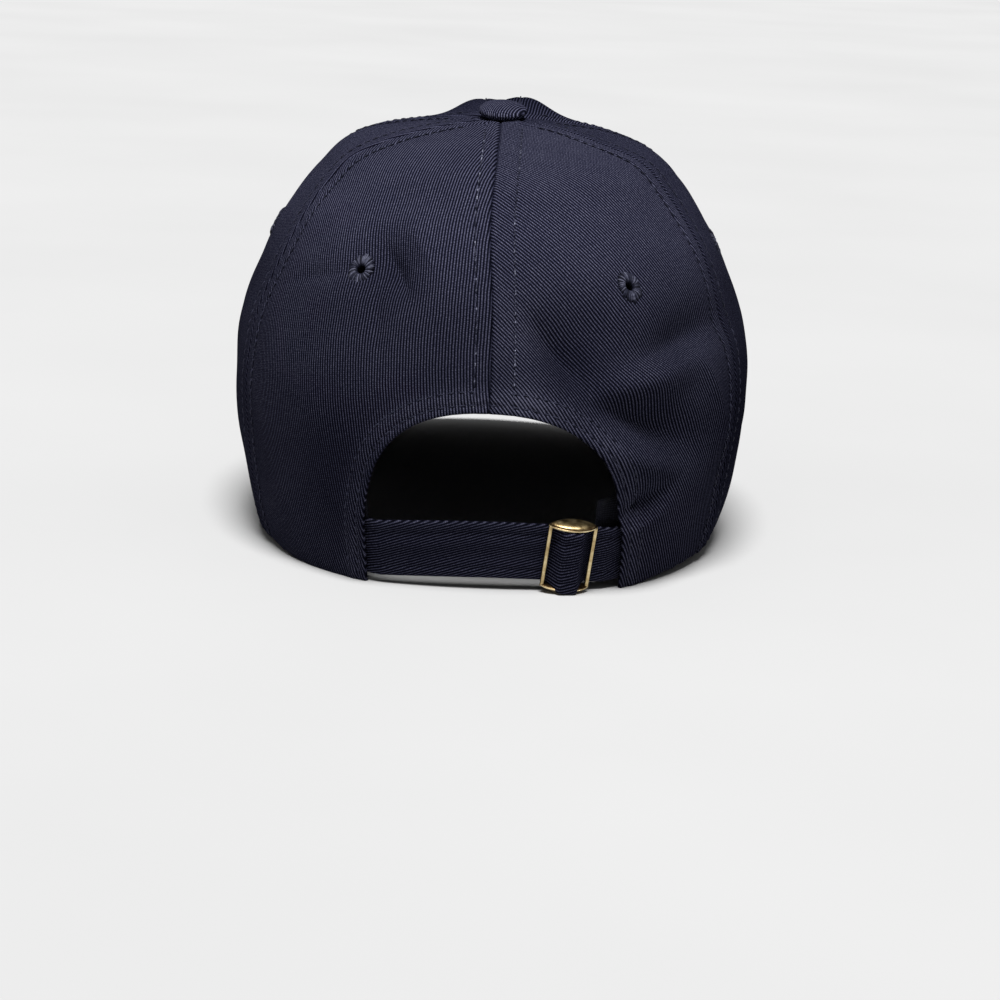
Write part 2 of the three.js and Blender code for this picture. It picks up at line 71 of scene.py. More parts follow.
# Dents and folds of the cloth: where the middle lies, the half lengths along and across, the turn of the
# crease from level in degrees, and how far the cloth is pushed out. Folds are round, and creases have a
# sharp line.
FOLD_COLUMNS = ("azimuth", "rise", "along", "across", "turn", "push")
FOLD_ROWS = [
    (166, 137.6, 10, 16, 0, 6.4),  # fullness of the front, right and left
    (-163, 137.6, 8, 16, 0, 5.0),
    (-26, 101, 13, 10, 0, -2.2),  # hollow at the left eyelet
    (12.7, 82, 18, 7.5, -52, -4.0),  # valley that slants down from the centre seam
    (19, 87, 17, 11, -50, -3.4),  # slope over it
    (40, 81, 28, 8, 9, -3.8),  # valley that climbs to the right side
    (33, 72.5, 24, 7, 9, 3.2),  # ridge under it
    (28.5, 57, 22, 8, -22, -4.4),  # valley that falls to the right side
    (26.5, 45.5, 20, 7.5, -24, 2.8),  # ridge beside the opening
    (-86, 20, 24, 10, 0, -2.4),  # hollow of the left side
    (86, 14, 24, 14, 0, 1.3),  # fullness of the right side
]
CREASE_ROWS = [
    (-21.6, 102, 12, 5, -48, -5.0),  # crescent beside the left eyelet
    (-16.4, 108.5, 12, 4, -52, 2.2),
    (-22.5, 86, 13, 4.5, -67, -1.8),  # creases that run down and left from the eyelet
    (-42, 96, 13, 5, 19, -2.2),
    (12, 83, 15, 6, -55, -4.4),  # creases and ridges of the valleys
    (40, 81, 25, 5, 9, -1.8),
    (33, 72.5, 22, 4.5, 9, 1.6),
    (28, 57.5, 19, 5, -22, -2.4),
    (26.5, 46, 17, 4.5, -24, 1.2),
    (30, 30.5, 11, 4.5, 20, -4.6),  # dent and puff over the right end of the strap
    (31, 24, 10, 5, 20, 2.6),
    (49, 64, 18, 5, -56, 1.8),  # ridge down the right side
]
CREASE_EDGE = 0.12  # how round the line of a crease is
FOLD_DEPTH = 60  # how far through the cap a fold reaches

# Painted light and shade on the cloth, lighter where it is over 0 and darker under 0: of whole panels, whose
# sides are painted darker, and of round places with an azimuth, a rise, a size and the amount at the middle.
# The places paint shade beside the opening, on the right side, in a valley, beside the left eyelet and on the
# front, and light at the hem and beside the centre seam.
PANEL_PAINTED_SHADE = {"side_right": -0.3, "side_left": -0.1}
PAINTED_LIGHT_AND_SHADE_ROWS = [
    (-26, 38, 24, -0.5),
    (64, 50, 22, -0.4),
    (7, 66, 9, 0.6),
    (6, 88, 13, 0.4),
    (15, 77, 13, -0.5),
    (-22, 101, 14, -0.35),
    (165, 138, 22, -0.6),
    (-165, 138, 22, -0.6),
]

# Unevenness of the cloth: sums of seeded plane waves.
WAVES = {"seed": 11, "count": 26, "shortest": 16, "longest": 55, "height": 0.2}

CLOTH = 1.4
GAP = 0.3
SEAM_AZIMUTHS = (-60, 0, 60, 120, 180, 240, 300)
PANEL_NAMES = ("back_left", "back_right", "side_right", "front_right", "front_left", "side_left")
OPENING = {"top": 62.5, "across": 2.2, "up": 4.5}
OPENING_SIDES = {"left": (-1, 20.5, 2), "right": (1, 21.5, 6.5)}  # sign, half width, spread of the corner
CORNER_DIP = {"depth": 1.3, "full": 28, "none": 62}
RIM_LIFT = {"height": 1.6, "from": 28, "full": 42, "fade": 60, "none": 86}  # on the right

# Sizes along the panels: grid steps, seam and hem relief.
GRID = {"fine": 0.5, "coarse": 1.15, "border": 9}
PANEL_LENGTH = 150
SEAM = {"lap": 0.08, "groove": 0.6, "groove_width": 0.7, "raise": 0.28, "dent": 0.45, "dent_width": 0.8}
SEAM_DRIFT = {"side": -2.2, "rise": 118, "up": 20, "across": 30}
SEAM_ROW = 6.0  # from a seam to the stitches beside it
CENTRE_ROWS = {"back_left": 5.0, "back_right": 7.5}  # the same at the centre back
HEM = {"rows": (2.7, 7.0), "width": 7.6, "raise": 0.4, "dent": 0.4, "dent_width": 0.8}
PUCKER = {"pitch": 4.4, "height": 0.12, "slant": 0.6}
STITCH = {"pitch": 3.4, "length": 2.7, "radius": 0.24, "lift": 0.12}
STITCH_SHARES = (0.55, 0.95, 1, 0.95, 0.55)  # of the radius, along a stitch
STITCH_ARC = (-0.3, 0.05, 0.14, 0.05, -0.3)  # height along a stitch
PEAK_STITCH_ARC = (-0.3, 0, 0.08, 0, -0.3)
STITCH_TOP = 9.35  # level at which the stitches of a seam end

EYELETS = {
    "back_left": (-31, 101),
    "back_right": (29.5, 99),
    "side_right": (90, 101),
    "front_right": (150, 101),
    "front_left": (210, 101),
    "side_left": (270, 101),
}
EYELET = {"cut": 2.3, "hole": 1.5, "edge": 4.4, "oval": 1.28, "threads": 54, "thread": 0.27, "dimple": 0.5}

# The threads of an eyelet run over its ring from the hole to the edge: how far out, height, radius and
# lightness, which is painted darker at the hole and at the edge as painted shade.
EYELET_THREAD_COLUMNS = ("share", "height", "radius", "light")
EYELET_THREAD_ROWS = [
    (0, -0.75, 0.8, 0),
    (0.05, 0.15, 1, 0.35),
    (0.2, 0.62, 1, 0.9),
    (0.5, 0.85, 1, 1),
    (0.8, 0.5, 1, 0.9),
    (1, -0.05, 0.6, 0.5),
]
EYELET_THREAD = dict(zip(EYELET_THREAD_COLUMNS, np.array(EYELET_THREAD_ROWS).T))
EYELET_RANDOM = {"turn": 0.02, "reach": 0.22, "height": 0.05, "slant": 0.16}

BUTTON = {"radius": 8.3, "height": 4.8, "stand": 0.5, "tilt": 11, "dome": 2.1, "shank": 1.4}
BUTTON_GATHER = {"count": 23, "depth": 0.1, "from": 5.5, "full": 8}

PEAK = {
    "end": 118, "reach": 168, "thickness": 3, "rise": 14, "droop": 10, "bend": 195, "tuck": 2.4, "fade": 88,
}
PEAK_BULGE = (107, 88)
PEAK_NOSE = (70, 168)
PEAK_ROWS = {"first": 5, "pitch": 9.5, "count": 6, "dent": 0.34, "dent_width": 1.3, "raise": 0.12}

BAND = {"from": 22.8, "to": 337.6, "height": 31, "lift": 1.2, "thickness": 1.2, "gap": 0.6}
BAND_POCKETS = [(22.8, 40, 60, 6.1), (-21.5, -38, -56, 2.6)]  # from, full, to, depth

STRAP = {"from": -36, "to": 41, "bottom": 2.8, "width": 19.8, "thickness": 1.8, "gap": 0.9}
STRAP_PULL = {"middle": 2, "span": 22, "inset": 6, "bow": 1.6, "upright": 0.35}
STRAP_RISE = {"half": 6.5, "height": 5.7, "level": 0.35, "droop": 1.6}

BUCKLE = {"azimuth": 16.7, "half": 8.15, "window": 21.3, "bar": 1.3, "depth": 1.5, "middle": 0.6, "stand": 2}
BUCKLE_CAP = {"depth": 4, "rim": 0.6, "dome": 1.25}
TAB = {"loop": 1.8, "thickness": 1.8, "gap": 0.9, "height": 12, "tail": (19.4, 30)}

PRESS = {"hem": 1.3, "peak": 0.4}
# Painted light: the cloth is coloured lighter at the top, where the overhead light falls.
PAINTED_TOP_LIGHT = {"low": 0.6, "rises": (85, 117)}  # the cloth's colour is lighter at the top of the crown

# Directions of the twill ribs, in degrees from the line that runs round the cap.
RIB_ANGLE = {"strap": 17, "button": 62, "peak": 135}
PANEL_RIB_ANGLE = 114.5
PANEL_RIB_TURN = {"back_left": -12, "back_right": 6}

# The view, as it stands to the rim: aim point, height angle, distance, focal length and aim point in pixels,
# and roll.
VIEW = {
    "aim": (0, 0, 65), "rise": 12.5, "distance": 900, "focal": 2535, "pixel": (492.8, 331.6), "roll": 2.6,
}
IMAGE = 1000
SENSOR = 36


def lerp(a, b, share):
    return a + (b - a) * share


def smoothstep(value, low, high):
    share = np.clip((value - low) / (high - low), 0, 1)
    return share * share * (3 - 2 * share)


def unit(vectors):
    return vectors / np.linalg.norm(vectors, axis=-1, keepdims=True)


def bell(distance, width):
    return np.exp(-((distance / width) ** 2))


# The crown's surface.


def section(column, level):
    """A column of the CROWN table at a level, along a smooth curve through the rows."""
    rows = CROWN[column]
    rows = np.concatenate([[2 * rows[0] - rows[1]], rows, [2 * rows[-1] - rows[-2]]])
    level = np.asarray(level, float)
    row = np.clip(np.floor(level).astype(int), 0, len(CROWN_ROWS) - 2)
    f = level - row
    a, b, c, d = (rows[row + k] for k in range(4))
    return 0.5 * (2 * b + (c - a) * f + (2 * a - 5 * b + 4 * c - d) * f**2 + (3 * b - a - 3 * c + d) * f**3)


LEVELS = np.linspace(0, len(CROWN_ROWS) - 1, 8001)
LEVEL_RISES = section("rise", LEVELS)


def level_of(rise):
    return np.interp(rise, LEVEL_RISES, LEVELS)


def plain_crown(azimuth, level):
    """The crown before its dents and folds."""
    turn = np.radians(azimuth)
    across, back = np.sin(turn), np.cos(turn)
    behind = back > 0
    power = np.where(behind, ROUNDNESS["back"], ROUNDNESS["front"])
    length = np.where(behind, section("back", level), section("front", level))
    total = (np.abs(across) / section("half", level)) ** power + (np.abs(back) / length) ** power
    radius = total ** (-1 / power)
    return np.stack(np.broadcast_arrays(radius * across, -radius * back, section("rise", level)), -1)


def axes_of(surface, azimuth, level):
    """Axes of a surface at a place: round the crown, up it, and out of it."""
    around = unit(surface(azimuth + 0.5, level) - surface(azimuth - 0.5, level))
    along = surface(azimuth, level + 0.02) - surface(azimuth, level - 0.02)
    out = unit(np.cross(around, along))
    return around, np.cross(out, around), out


def fold_frames(rows):
    frames = []
    for row in rows:
        fold = dict(zip(FOLD_COLUMNS, row))
        level = level_of(fold["rise"])
        around, up, out = axes_of(plain_crown, fold["azimuth"], level)
        turn = math.radians(fold["turn"])
        along = around * math.cos(turn) + up * math.sin(turn)
        across = up * math.cos(turn) - around * math.sin(turn)
        scaled = np.stack([along / fold["along"], across / fold["across"], out / FOLD_DEPTH])
        frames.append((plain_crown(fold["azimuth"], level), scaled, fold["push"]))
    return frames


def wave_frames():
    random = np.random.default_rng(WAVES["seed"])
    length = random.uniform(WAVES["shortest"], WAVES["longest"], WAVES["count"])
    direction = unit(random.normal(size=(WAVES["count"], 3)))
    phase = random.uniform(0, 2 * np.pi, WAVES["count"])
    height = WAVES["height"] * length / length.mean() / math.sqrt(WAVES["count"] / 4)
    return direction * (2 * np.pi / length)[:, None], phase, height


FOLDS = fold_frames(FOLD_ROWS)
CREASES = fold_frames(CREASE_ROWS)
WAVE_VECTORS, WAVE_PHASES, WAVE_HEIGHTS = wave_frames()


def cloth_push(points):
    """How far the dents, folds and unevenness push the cloth out at points of the plain crown."""
    push = (WAVE_HEIGHTS * np.sin(points @ WAVE_VECTORS.T + WAVE_PHASES)).sum(-1)
    for middle, scaled, height in FOLDS:
        push = push + height * np.exp(-(((points - middle) @ scaled.T) ** 2).sum(-1))
    for middle, scaled, height in CREASES:
        along, across, deep = np.moveaxis((points - middle) @ scaled.T, -1, 0)
        push = push + height * np.exp(-(along**2) - deep**2 - np.sqrt(across**2 + CREASE_EDGE**2))
    return push


def drifted(azimuth, level):
    """Azimuths moved a little left near the top of the centre back seam, which isn't quite straight."""
    plain = plain_crown(azimuth, level)
    shift = SEAM_DRIFT["side"] * bell(plain[..., 2] - SEAM_DRIFT["rise"], SEAM_DRIFT["up"])
    shift = shift * bell(plain[..., 0], SEAM_DRIFT["across"]) * (plain[..., 1] < 0)
    return azimuth + np.degrees(shift / np.hypot(plain[..., 0], plain[..., 1]))


def crown_point(azimuth, level, depth=0.0):
    """A point of the crown, at a depth under its outer face."""
    points = plain_crown(azimuth, level)
    out = axes_of(plain_crown, azimuth, level)[2]
    return points + out * (cloth_push(points) - depth)[..., None]


FRONT_RIM = float(section("front", level_of(0)))


def peak_top(x, y):
    return PEAK["rise"] - math.tan(math.radians(PEAK["droop"])) * (y - FRONT_RIM) - x**2 / (2 * PEAK["bend"])


def rim_rise(azimuth):
    """Height of the rim: lower beside the opening, higher on the right, and on the peak at the front."""
    turn = np.asarray(azimuth, float) % 360
    from_back = 180 - np.abs(turn - 180)
    lift = smoothstep(from_back, RIM_LIFT["from"], RIM_LIFT["full"])
    lift = lift * smoothstep(from_back, RIM_LIFT["none"], RIM_LIFT["fade"]) * (turn < 180)
    share = smoothstep(from_back, PEAK["fade"], PEAK["end"] - 5)
    dip = CORNER_DIP["depth"] * (smoothstep(from_back, CORNER_DIP["full"], CORNER_DIP["none"]) - 1)
    rise = np.zeros_like(from_back)
    for _ in range(4):
        point = plain_crown(azimuth, level_of(rise))
        rise = peak_top(point[..., 0], point[..., 1]) + GAP
    return dip + RIM_LIFT["height"] * lift + share * rise


def opening_edge(side, share):
    """The edge of the opening on one side, from the rim to the top of the arch, as azimuth and level."""
    sign, half, flare = OPENING_SIDES[side]
    up = np.sin(np.asarray(share, float) * np.pi / 2) ** 0.8
    wide = np.maximum(1 - up ** OPENING["up"], 0) ** (1 / OPENING["across"])
    azimuth = half * wide + flare * (1 - up)
    return sign * azimuth, level_of(lerp(-CORNER_DIP["depth"], OPENING["top"], up))


def graded(length, end=True):
    """Positions along a length, close together at its start and, if asked, at its end."""
    border = min(GRID["border"], length / 3)
    first = np.linspace(0, border, round(border / GRID["fine"]) + 1)
    last = length - first[::-1] if end else np.array([length])
    middle = np.linspace(first[-1], last[0], round((last[0] - first[-1]) / GRID["coarse"]) + 1)
    return np.concatenate([first, middle[1:-1], last])


def line_lengths(points):
    steps = np.linalg.norm(np.diff(points, axis=0), axis=1)
    return np.concatenate([[0], np.cumsum(steps)])


def resample(azimuth, level, step=None):
    """Places along a line on the crown, at equal steps or close together at its ends."""
    lengths = line_lengths(plain_crown(azimuth, level))
    positions = graded(lengths[-1])
    if step is not None:
        positions = np.linspace(0, lengths[-1], max(2, round(lengths[-1] / step)) + 1)
    return np.interp(positions, lengths, azimuth), np.interp(positions, lengths, level)


def edge_lines(start, end):
    """The lines that make up a panel's lower edge, from its first seam to its second."""
    share = np.linspace(0, 1, 400)

    def rim(first, last):
        azimuth = np.linspace(first, last, 200)
        return azimuth, level_of(rim_rise(azimuth))

    if start == 0:
        azimuth, level = opening_edge("right", share[::-1])
        return [(azimuth, level), rim(azimuth[-1], end)]
    if end == 0:
        azimuth, level = opening_edge("left", share)
        return [rim(start, azimuth[0]), (azimuth, level)]
    return [rim(start, end)]


def lower_edge(start, end):
    lines = [resample(*line) for line in edge_lines(start, end)]
    azimuth = np.concatenate([lines[0][0]] + [line[0][1:] for line in lines[1:]])
    level = np.concatenate([lines[0][1]] + [line[1][1:] for line in lines[1:]])
    return azimuth, level


# How the cap rests.


def peak_outline(share):
    """The peak's outer edge, from the wearer's left (share 0) to the right (share 1), seen from above."""
    share = np.asarray(share, float)
    t = (1 - np.abs(2 * share - 1))[..., None]
    ends = [PEAK_END, np.array(PEAK_BULGE), np.array(PEAK_NOSE), np.array([0, PEAK["reach"]])]
    weights = [(1 - t) ** 3, 3 * (1 - t) ** 2 * t, 3 * (1 - t) * t**2, t**3]
    outline = sum(weight * end for weight, end in zip(weights, ends))
    outline[..., 0] *= np.where(share < 0.5, -1, 1)
    return outline


def peak_inner(share):
    azimuth = lerp(360 - PEAK["end"], PEAK["end"], np.asarray(share, float))
    return crown_point(azimuth, level_of(rim_rise(azimuth)), PEAK["tuck"])[..., :2]


PEAK_END = crown_point(PEAK["end"], level_of(rim_rise(PEAK["end"])), -2.5)[:2]


def resting_place():
    """The tilt and lift at which the back corners of the hem and the sides of the peak touch the floor."""
    corners = np.array([crown_point(*opening_edge(side, 0)) for side in OPENING_SIDES])
    plan = peak_outline(np.linspace(0, 1, 101))
    edge = np.column_stack([plan, peak_top(plan[:, 0], plan[:, 1]) - PEAK["thickness"]])

    def lowest(points, tilt):
        return (points[:, 2] * math.cos(tilt) + points[:, 1] * math.sin(tilt)).min()

    low, high = 0.0, math.radians(10)
    for _ in range(40):
        tilt = (low + high) / 2
        if lowest(edge, tilt) + PRESS["peak"] < lowest(corners, tilt) + PRESS["hem"]:
            low = tilt
        else:
            high = tilt
    return low, -lowest(corners, low) - PRESS["hem"]


TILT, LIFT = resting_place()
TURN = Matrix.Rotation(TILT, 3, "X")
nose = TURN @ Vector((0, PEAK["reach"], float(peak_top(0, PEAK["reach"]))))
PLACE = Vector((0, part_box("peak")[1].y / MM - nose.y, LIFT))


def to_world(points, soft=True):
    """Points of the crown's frame as the cap rests, in metres. Soft cloth doesn't go under the floor."""
    world = points @ np.array(TURN).T + np.array(PLACE)
    if soft:
        world[..., 2] = np.maximum(world[..., 2], 0)
    return world * MM


# Meshes.


def make_piece(name, points, faces, look, slot, node=None, uv=None, wear_and_painted_light=None, soft=True):
    """A smooth mesh object that rides with the cap and stands for a node. Points are in the crown's frame."""
    used, faces_used = np.unique(np.concatenate([np.ravel(f) for f in faces]), return_inverse=True)
    cuts = np.cumsum([np.size(f) for f in faces])[:-1]
    shapes = [np.shape(f) for f in faces]
    faces = [part.reshape(shape) for part, shape in zip(np.split(faces_used, cuts), shapes)]
    mesh = bpy.data.meshes.new(name)
    mesh.from_pydata(to_world(points[used], soft).tolist(), [], [f for part in faces for f in part.tolist()])
    if uv is not None:
        corner = np.zeros(len(mesh.loops), np.int32)
        mesh.loops.foreach_get("vertex_index", corner)
        mesh.uv_layers.new(name="cloth").data.foreach_set("uv", uv[used][corner].astype(np.float32).ravel())
    if wear_and_painted_light is not None:
        # Painted light: the colour is scaled lighter towards the top of the crown.
        painted_top_light_factor = lerp(PAINTED_TOP_LIGHT["low"], 1, smoothstep(points[used][:, 2], *PAINTED_TOP_LIGHT["rises"]))
        for layer, values in (("wear_and_painted_light", wear_and_painted_light[used]), ("painted_top_light_factor", painted_top_light_factor)):
            mesh.attributes.new(layer, "FLOAT", "POINT").data.foreach_set("value", values.astype(np.float32))
    mesh.shade_smooth()
    mesh.materials.append(look)
    piece = bpy.data.objects.new(name, mesh)
    bpy.context.scene.collection.objects.link(piece)
    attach(piece, "root")
    if node:
        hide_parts(node)
    return piece


def make_sheet(name, outer, inner, look, slot, node, uv, wear_and_painted_light=None, keep=None, flip=False):
    """A cloth piece from the grids of its two faces, with the cloth coordinates and the wear, painted light
    and painted shade of both.
    """
    points = np.concatenate([outer.reshape(-1, 3), inner.reshape(-1, 3)])
    faces = sheet_faces(*outer.shape[:2], keep)
    wear_and_painted_light = None if wear_and_painted_light is None else np.tile(np.ravel(wear_and_painted_light), 2)
    uv = np.tile(uv.reshape(-1, 2), (2, 1))
    return make_piece(name, points, [faces[:, ::-1] if flip else faces], look, slot, node, uv, wear_and_painted_light)


def sheet_faces(rows, columns, keep=None):
    """Faces of a sheet with an outer and an inner grid of points, closed round its edges and holes."""
    count = rows * columns
    index = np.arange(count).reshape(rows, columns)
    quads = np.stack([index[:-1, :-1], index[:-1, 1:], index[1:, 1:], index[1:, :-1]], -1)
    outer = quads.reshape(-1, 4) if keep is None else quads[keep]
    edges = np.concatenate([outer[:, [k, (k + 1) % 4]] for k in range(4)])
    border = edges[~np.isin(edges @ [count, 1], edges @ [1, count])]
    walls = np.column_stack([border[:, ::-1], border + count])
    return np.concatenate([outer, outer[:, ::-1] + count, walls])


def tube_mesh(paths, normals, radii):
    """Closed six-sided tubes along many paths. Paths and normals are (tube, point, 3), and radii (point,)."""
    sides = 6
    along = unit(np.gradient(paths, axis=1))
    side = unit(np.cross(along, normals))
    up = np.cross(side, along)
    turn = np.linspace(0, 2 * np.pi, sides, endpoint=False)
    ring = np.cos(turn)[:, None] * side[:, :, None] + np.sin(turn)[:, None] * up[:, :, None]
    points = paths[:, :, None] + ring * np.asarray(radii)[None, :, None, None]
    tubes, steps = paths.shape[:2]
    index = np.arange(tubes * steps * sides).reshape(tubes, steps, sides)
    turned = np.roll(index, -1, axis=2)
    quads = np.stack([index[:, :-1], turned[:, :-1], turned[:, 1:], index[:, 1:]], -1).reshape(-1, 4)
    return points.reshape(-1, 3), [quads, index[:, 0, ::-1], index[:, -1]]


def ring_quads(index):
    """Faces between rings of points, given the number of each point by ring and place in the ring."""
    follow = np.roll(index, -1, axis=1)
    return np.stack([index[:-1], follow[:-1], follow[1:], index[1:]], -1).reshape(-1, 4)


def capped_rings(rings, ends):
    """A closed mesh of rings of points, one over another, with a middle point at each end."""
    rows, count = rings.shape[:2]
    index = np.arange(rows * count).reshape(rows, count)
    follow = np.roll(index, -1, axis=1)
    first = np.column_stack([follow[0], index[0], np.full(count, rows * count)])
    last = np.column_stack([index[-1], follow[-1], np.full(count, rows * count + 1)])
    return np.concatenate([rings.reshape(-1, 3), ends]), [ring_quads(index), first, last]


def turned_rings(profile, count):
    """Rings about Z from an outline of radius and height."""
    turn = np.linspace(0, 2 * np.pi, count, endpoint=False)
    radius, height = np.array(profile, float).T[..., None]
    return np.stack([radius * np.cos(turn), radius * np.sin(turn), height + 0 * turn], -1)


def joined(meshes):
    """Several (points, faces) meshes as one."""
    points, faces, start = [], [], 0
    for part, part_faces in meshes:
        points.append(part)
        faces += [f + start for f in part_faces]
        start += len(part)
    return np.concatenate(points), faces


def seated(points, origin, axes):
    """Points of a small piece's own frame, moved to its seat."""
    return origin + points @ np.stack(axes)


def rib_coordinates(flat, angle):
    """Flat cloth coordinates turned so that the first runs across the ribs and the second along them."""
    turn = math.radians(angle)
    across = flat[..., 1] * math.cos(turn) - flat[..., 0] * math.sin(turn)
    along = flat[..., 0] * math.cos(turn) + flat[..., 1] * math.sin(turn)
    return np.stack([across, along], -1)


def edge_round(distance, thickness):
    """How far both faces of a cloth draw together at its edge, so that the edge is round."""
    half = thickness / 2
    inside = np.clip(half - distance, 0, half)
    return half - np.sqrt(half**2 - inside**2)


def distance_to(points, line):
    tree = KDTree(len(line))
    for k, place in enumerate(line):
        tree.insert(place, k)
    tree.balance()
    flat = points.reshape(-1, 3)
    return np.array([tree.find(place)[2] for place in flat]).reshape(points.shape[:-1])


# Materials.


class Look:
    """A node material, with short ways to add nodes."""

    def __init__(self, name, **constants):
        self.material = bpy.data.materials.new(name)
        self.material.use_nodes = True
        self.tree = self.material.node_tree
        self.shader = self.tree.nodes["Principled BSDF"]
        for socket, value in constants.items():
            self.shader.inputs[socket.replace("_", " ")].default_value = value

    def add(self, kind, inputs=None, output=0, **settings):
        node = self.tree.nodes.new("ShaderNode" + kind)
        for key, value in settings.items():
            setattr(node, key, value)
        for socket, value in (inputs or {}).items():
            if isinstance(value, bpy.types.NodeSocket):
                self.tree.links.new(value, node.inputs[socket])
            else:
                node.inputs[socket].default_value = value
        return node.outputs[output]

    def math(self, operation, a, b=0.0, c=0.0):
        return self.add("Math", {0: a, 1: b, 2: c}, operation=operation)

    def wave(self, value, scale):
        """A smooth wave between 0 and 1."""
        turned = self.math("SINE", self.math("MULTIPLY", value, 2 * math.pi * scale))
        return self.math("MULTIPLY_ADD", turned, 0.5, 0.5)

    def noise(self, vector, scale, detail=2.0):
        return self.add("TexNoise", {"Vector": vector, "Scale": scale, "Detail": detail})

    def ramp(self, value, stops):
        colours = self.add("ValToRGB", {0: value})
        elements = colours.node.color_ramp.elements
        while len(elements) < len(stops):
            elements.new(0.5)
        for element, (place, colour) in zip(elements, stops):
            element.position = place
            element.color = (*colour, 1)
        return colours

    def spread(self, value, low, high):
        """A value from 0 to 1, spread between two others."""
        return self.add("MapRange", {"Value": value, "To Min": low, "To Max": high})

    def place(self):
        return self.add("TexCoord", output=3)

    def attribute(self, name):
        return self.add("Attribute", attribute_name=name, output=2)

    def link(self, socket, value):
        self.tree.links.new(value, self.shader.inputs[socket])

    def bump(self, height, distance, strength=1.0):
        bumped = self.add("Bump", {"Height": height, "Distance": distance, "Strength": strength})
        self.link("Normal", bumped)


TWILL = {"pitch": 1.0, "yarn": 0.6}


def twill_look():
    look = Look("cotton_twill", Specular_IOR_Level=0.0)
    flat = look.add("UVMap", uv_map="cloth")
    split = look.add("SeparateXYZ", {0: flat})
    across, along = split, split.node.outputs[1]
    drift = look.math("MULTIPLY_ADD", look.noise(flat, 0.09), 0.6, -0.3)
    across = look.math("ADD", across, drift)
    rib = look.wave(across, 1 / TWILL["pitch"])
    slanted = look.math("MULTIPLY_ADD", across, 0.55, along)
    yarn = look.wave(slanted, 1 / TWILL["yarn"])
    height = look.math("MULTIPLY", rib, look.math("MULTIPLY_ADD", yarn, 0.34, 0.66))
    speck = look.noise(flat, 1.7, 3.0)
    cloud = look.noise(flat, 0.035, 3.0)
    # The attribute holds wear together with painted light and painted shade.
    wear_and_painted_light = look.attribute("wear_and_painted_light")
    shade = look.math("MULTIPLY_ADD", height, 0.7, look.math("MULTIPLY_ADD", speck, 0.6, -0.3))
    shade = look.math("ADD", shade, look.math("MULTIPLY_ADD", cloud, 0.12, -0.06))
    shade = look.math("MULTIPLY_ADD", wear_and_painted_light, 0.2, shade)
    colours = [
        (0.0, (0.0026, 0.0028, 0.006)),
        (0.25, (0.0082, 0.0085, 0.0155)),
        (0.5, (0.034, 0.035, 0.066)),
        (0.8, (0.16, 0.161, 0.225)),
    ]
    # Painted light: the colour is scaled lighter towards the top of the crown.
    painted_top_light_factor = look.attribute("painted_top_light_factor")
    scaled = {"Vector": look.ramp(shade, colours), "Scale": painted_top_light_factor}
    look.link("Base Color", look.add("VectorMath", scaled, operation="SCALE"))
    look.link("Roughness", look.spread(speck, 0.78, 0.98))
    look.bump(look.math("MULTIPLY_ADD", speck, 0.35, height), 0.1 * MM, 0.9)
    return look.material


def thread_look(name, fleck):
    look = Look(name, Specular_IOR_Level=0.1)
    place = look.place()
    fine = look.noise(place, 900, 2.0)
    coarse = look.math("MULTIPLY", look.noise(place, 70), 0.3)
    speck = look.math("MULTIPLY_ADD", fine, 0.7, coarse)
    colours = [(0.3, (0.007, 0.0075, 0.016)), (0.54, (0.016, 0.017, 0.032)), (0.68, fleck)]
    look.link("Base Color", look.ramp(speck, colours))
    look.link("Roughness", look.spread(speck, 0.45, 0.75))
    look.bump(look.noise(place, 4000, 1.0), 0.05 * MM, 0.5)
    return look.material


def eyelet_look():
    look = Look("eyelet_thread", Specular_IOR_Level=0.1)
    place = look.place()
    # The attribute holds each thread's lightness, with painted shade at the hole and the edge.
    wear_and_painted_light = look.attribute("wear_and_painted_light")
    speck = look.noise(place, 1100, 2.0)
    shade = look.math("ADD", wear_and_painted_light, look.math("MULTIPLY_ADD", speck, 0.9, -0.45))
    colours = [(0.05, (0.004, 0.0043, 0.01)), (0.5, (0.014, 0.015, 0.029)), (1.0, (0.095, 0.098, 0.14))]
    look.link("Base Color", look.ramp(shade, colours))
    look.link("Roughness", look.spread(speck, 0.5, 0.8))
    look.bump(look.noise(place, 4000, 1.0), 0.05 * MM, 0.5)
    return look.material


def band_look():
    look = Look("band_cloth", Sheen_Weight=0.1, Specular_IOR_Level=0.15)
    flat = look.add("UVMap", uv_map="cloth")
    split = look.add("SeparateXYZ", {0: flat})
    warp = look.wave(split, 1 / 0.7)
    weft = look.wave(split.node.outputs[1], 1 / 0.7)
    weave = look.math("MULTIPLY", warp, weft)
    cloud = look.noise(flat, 0.08, 3.0)
    shade = look.math("MULTIPLY_ADD", weave, 0.5, look.math("MULTIPLY", cloud, 0.5))
    look.link("Base Color", look.ramp(shade, [(0.15, (0.006, 0.0065, 0.012)), (0.8, (0.035, 0.036, 0.055))]))
    look.link("Roughness", look.spread(cloud, 0.8, 0.98))
    look.bump(weave, 0.2 * MM, 0.8)
    return look.material


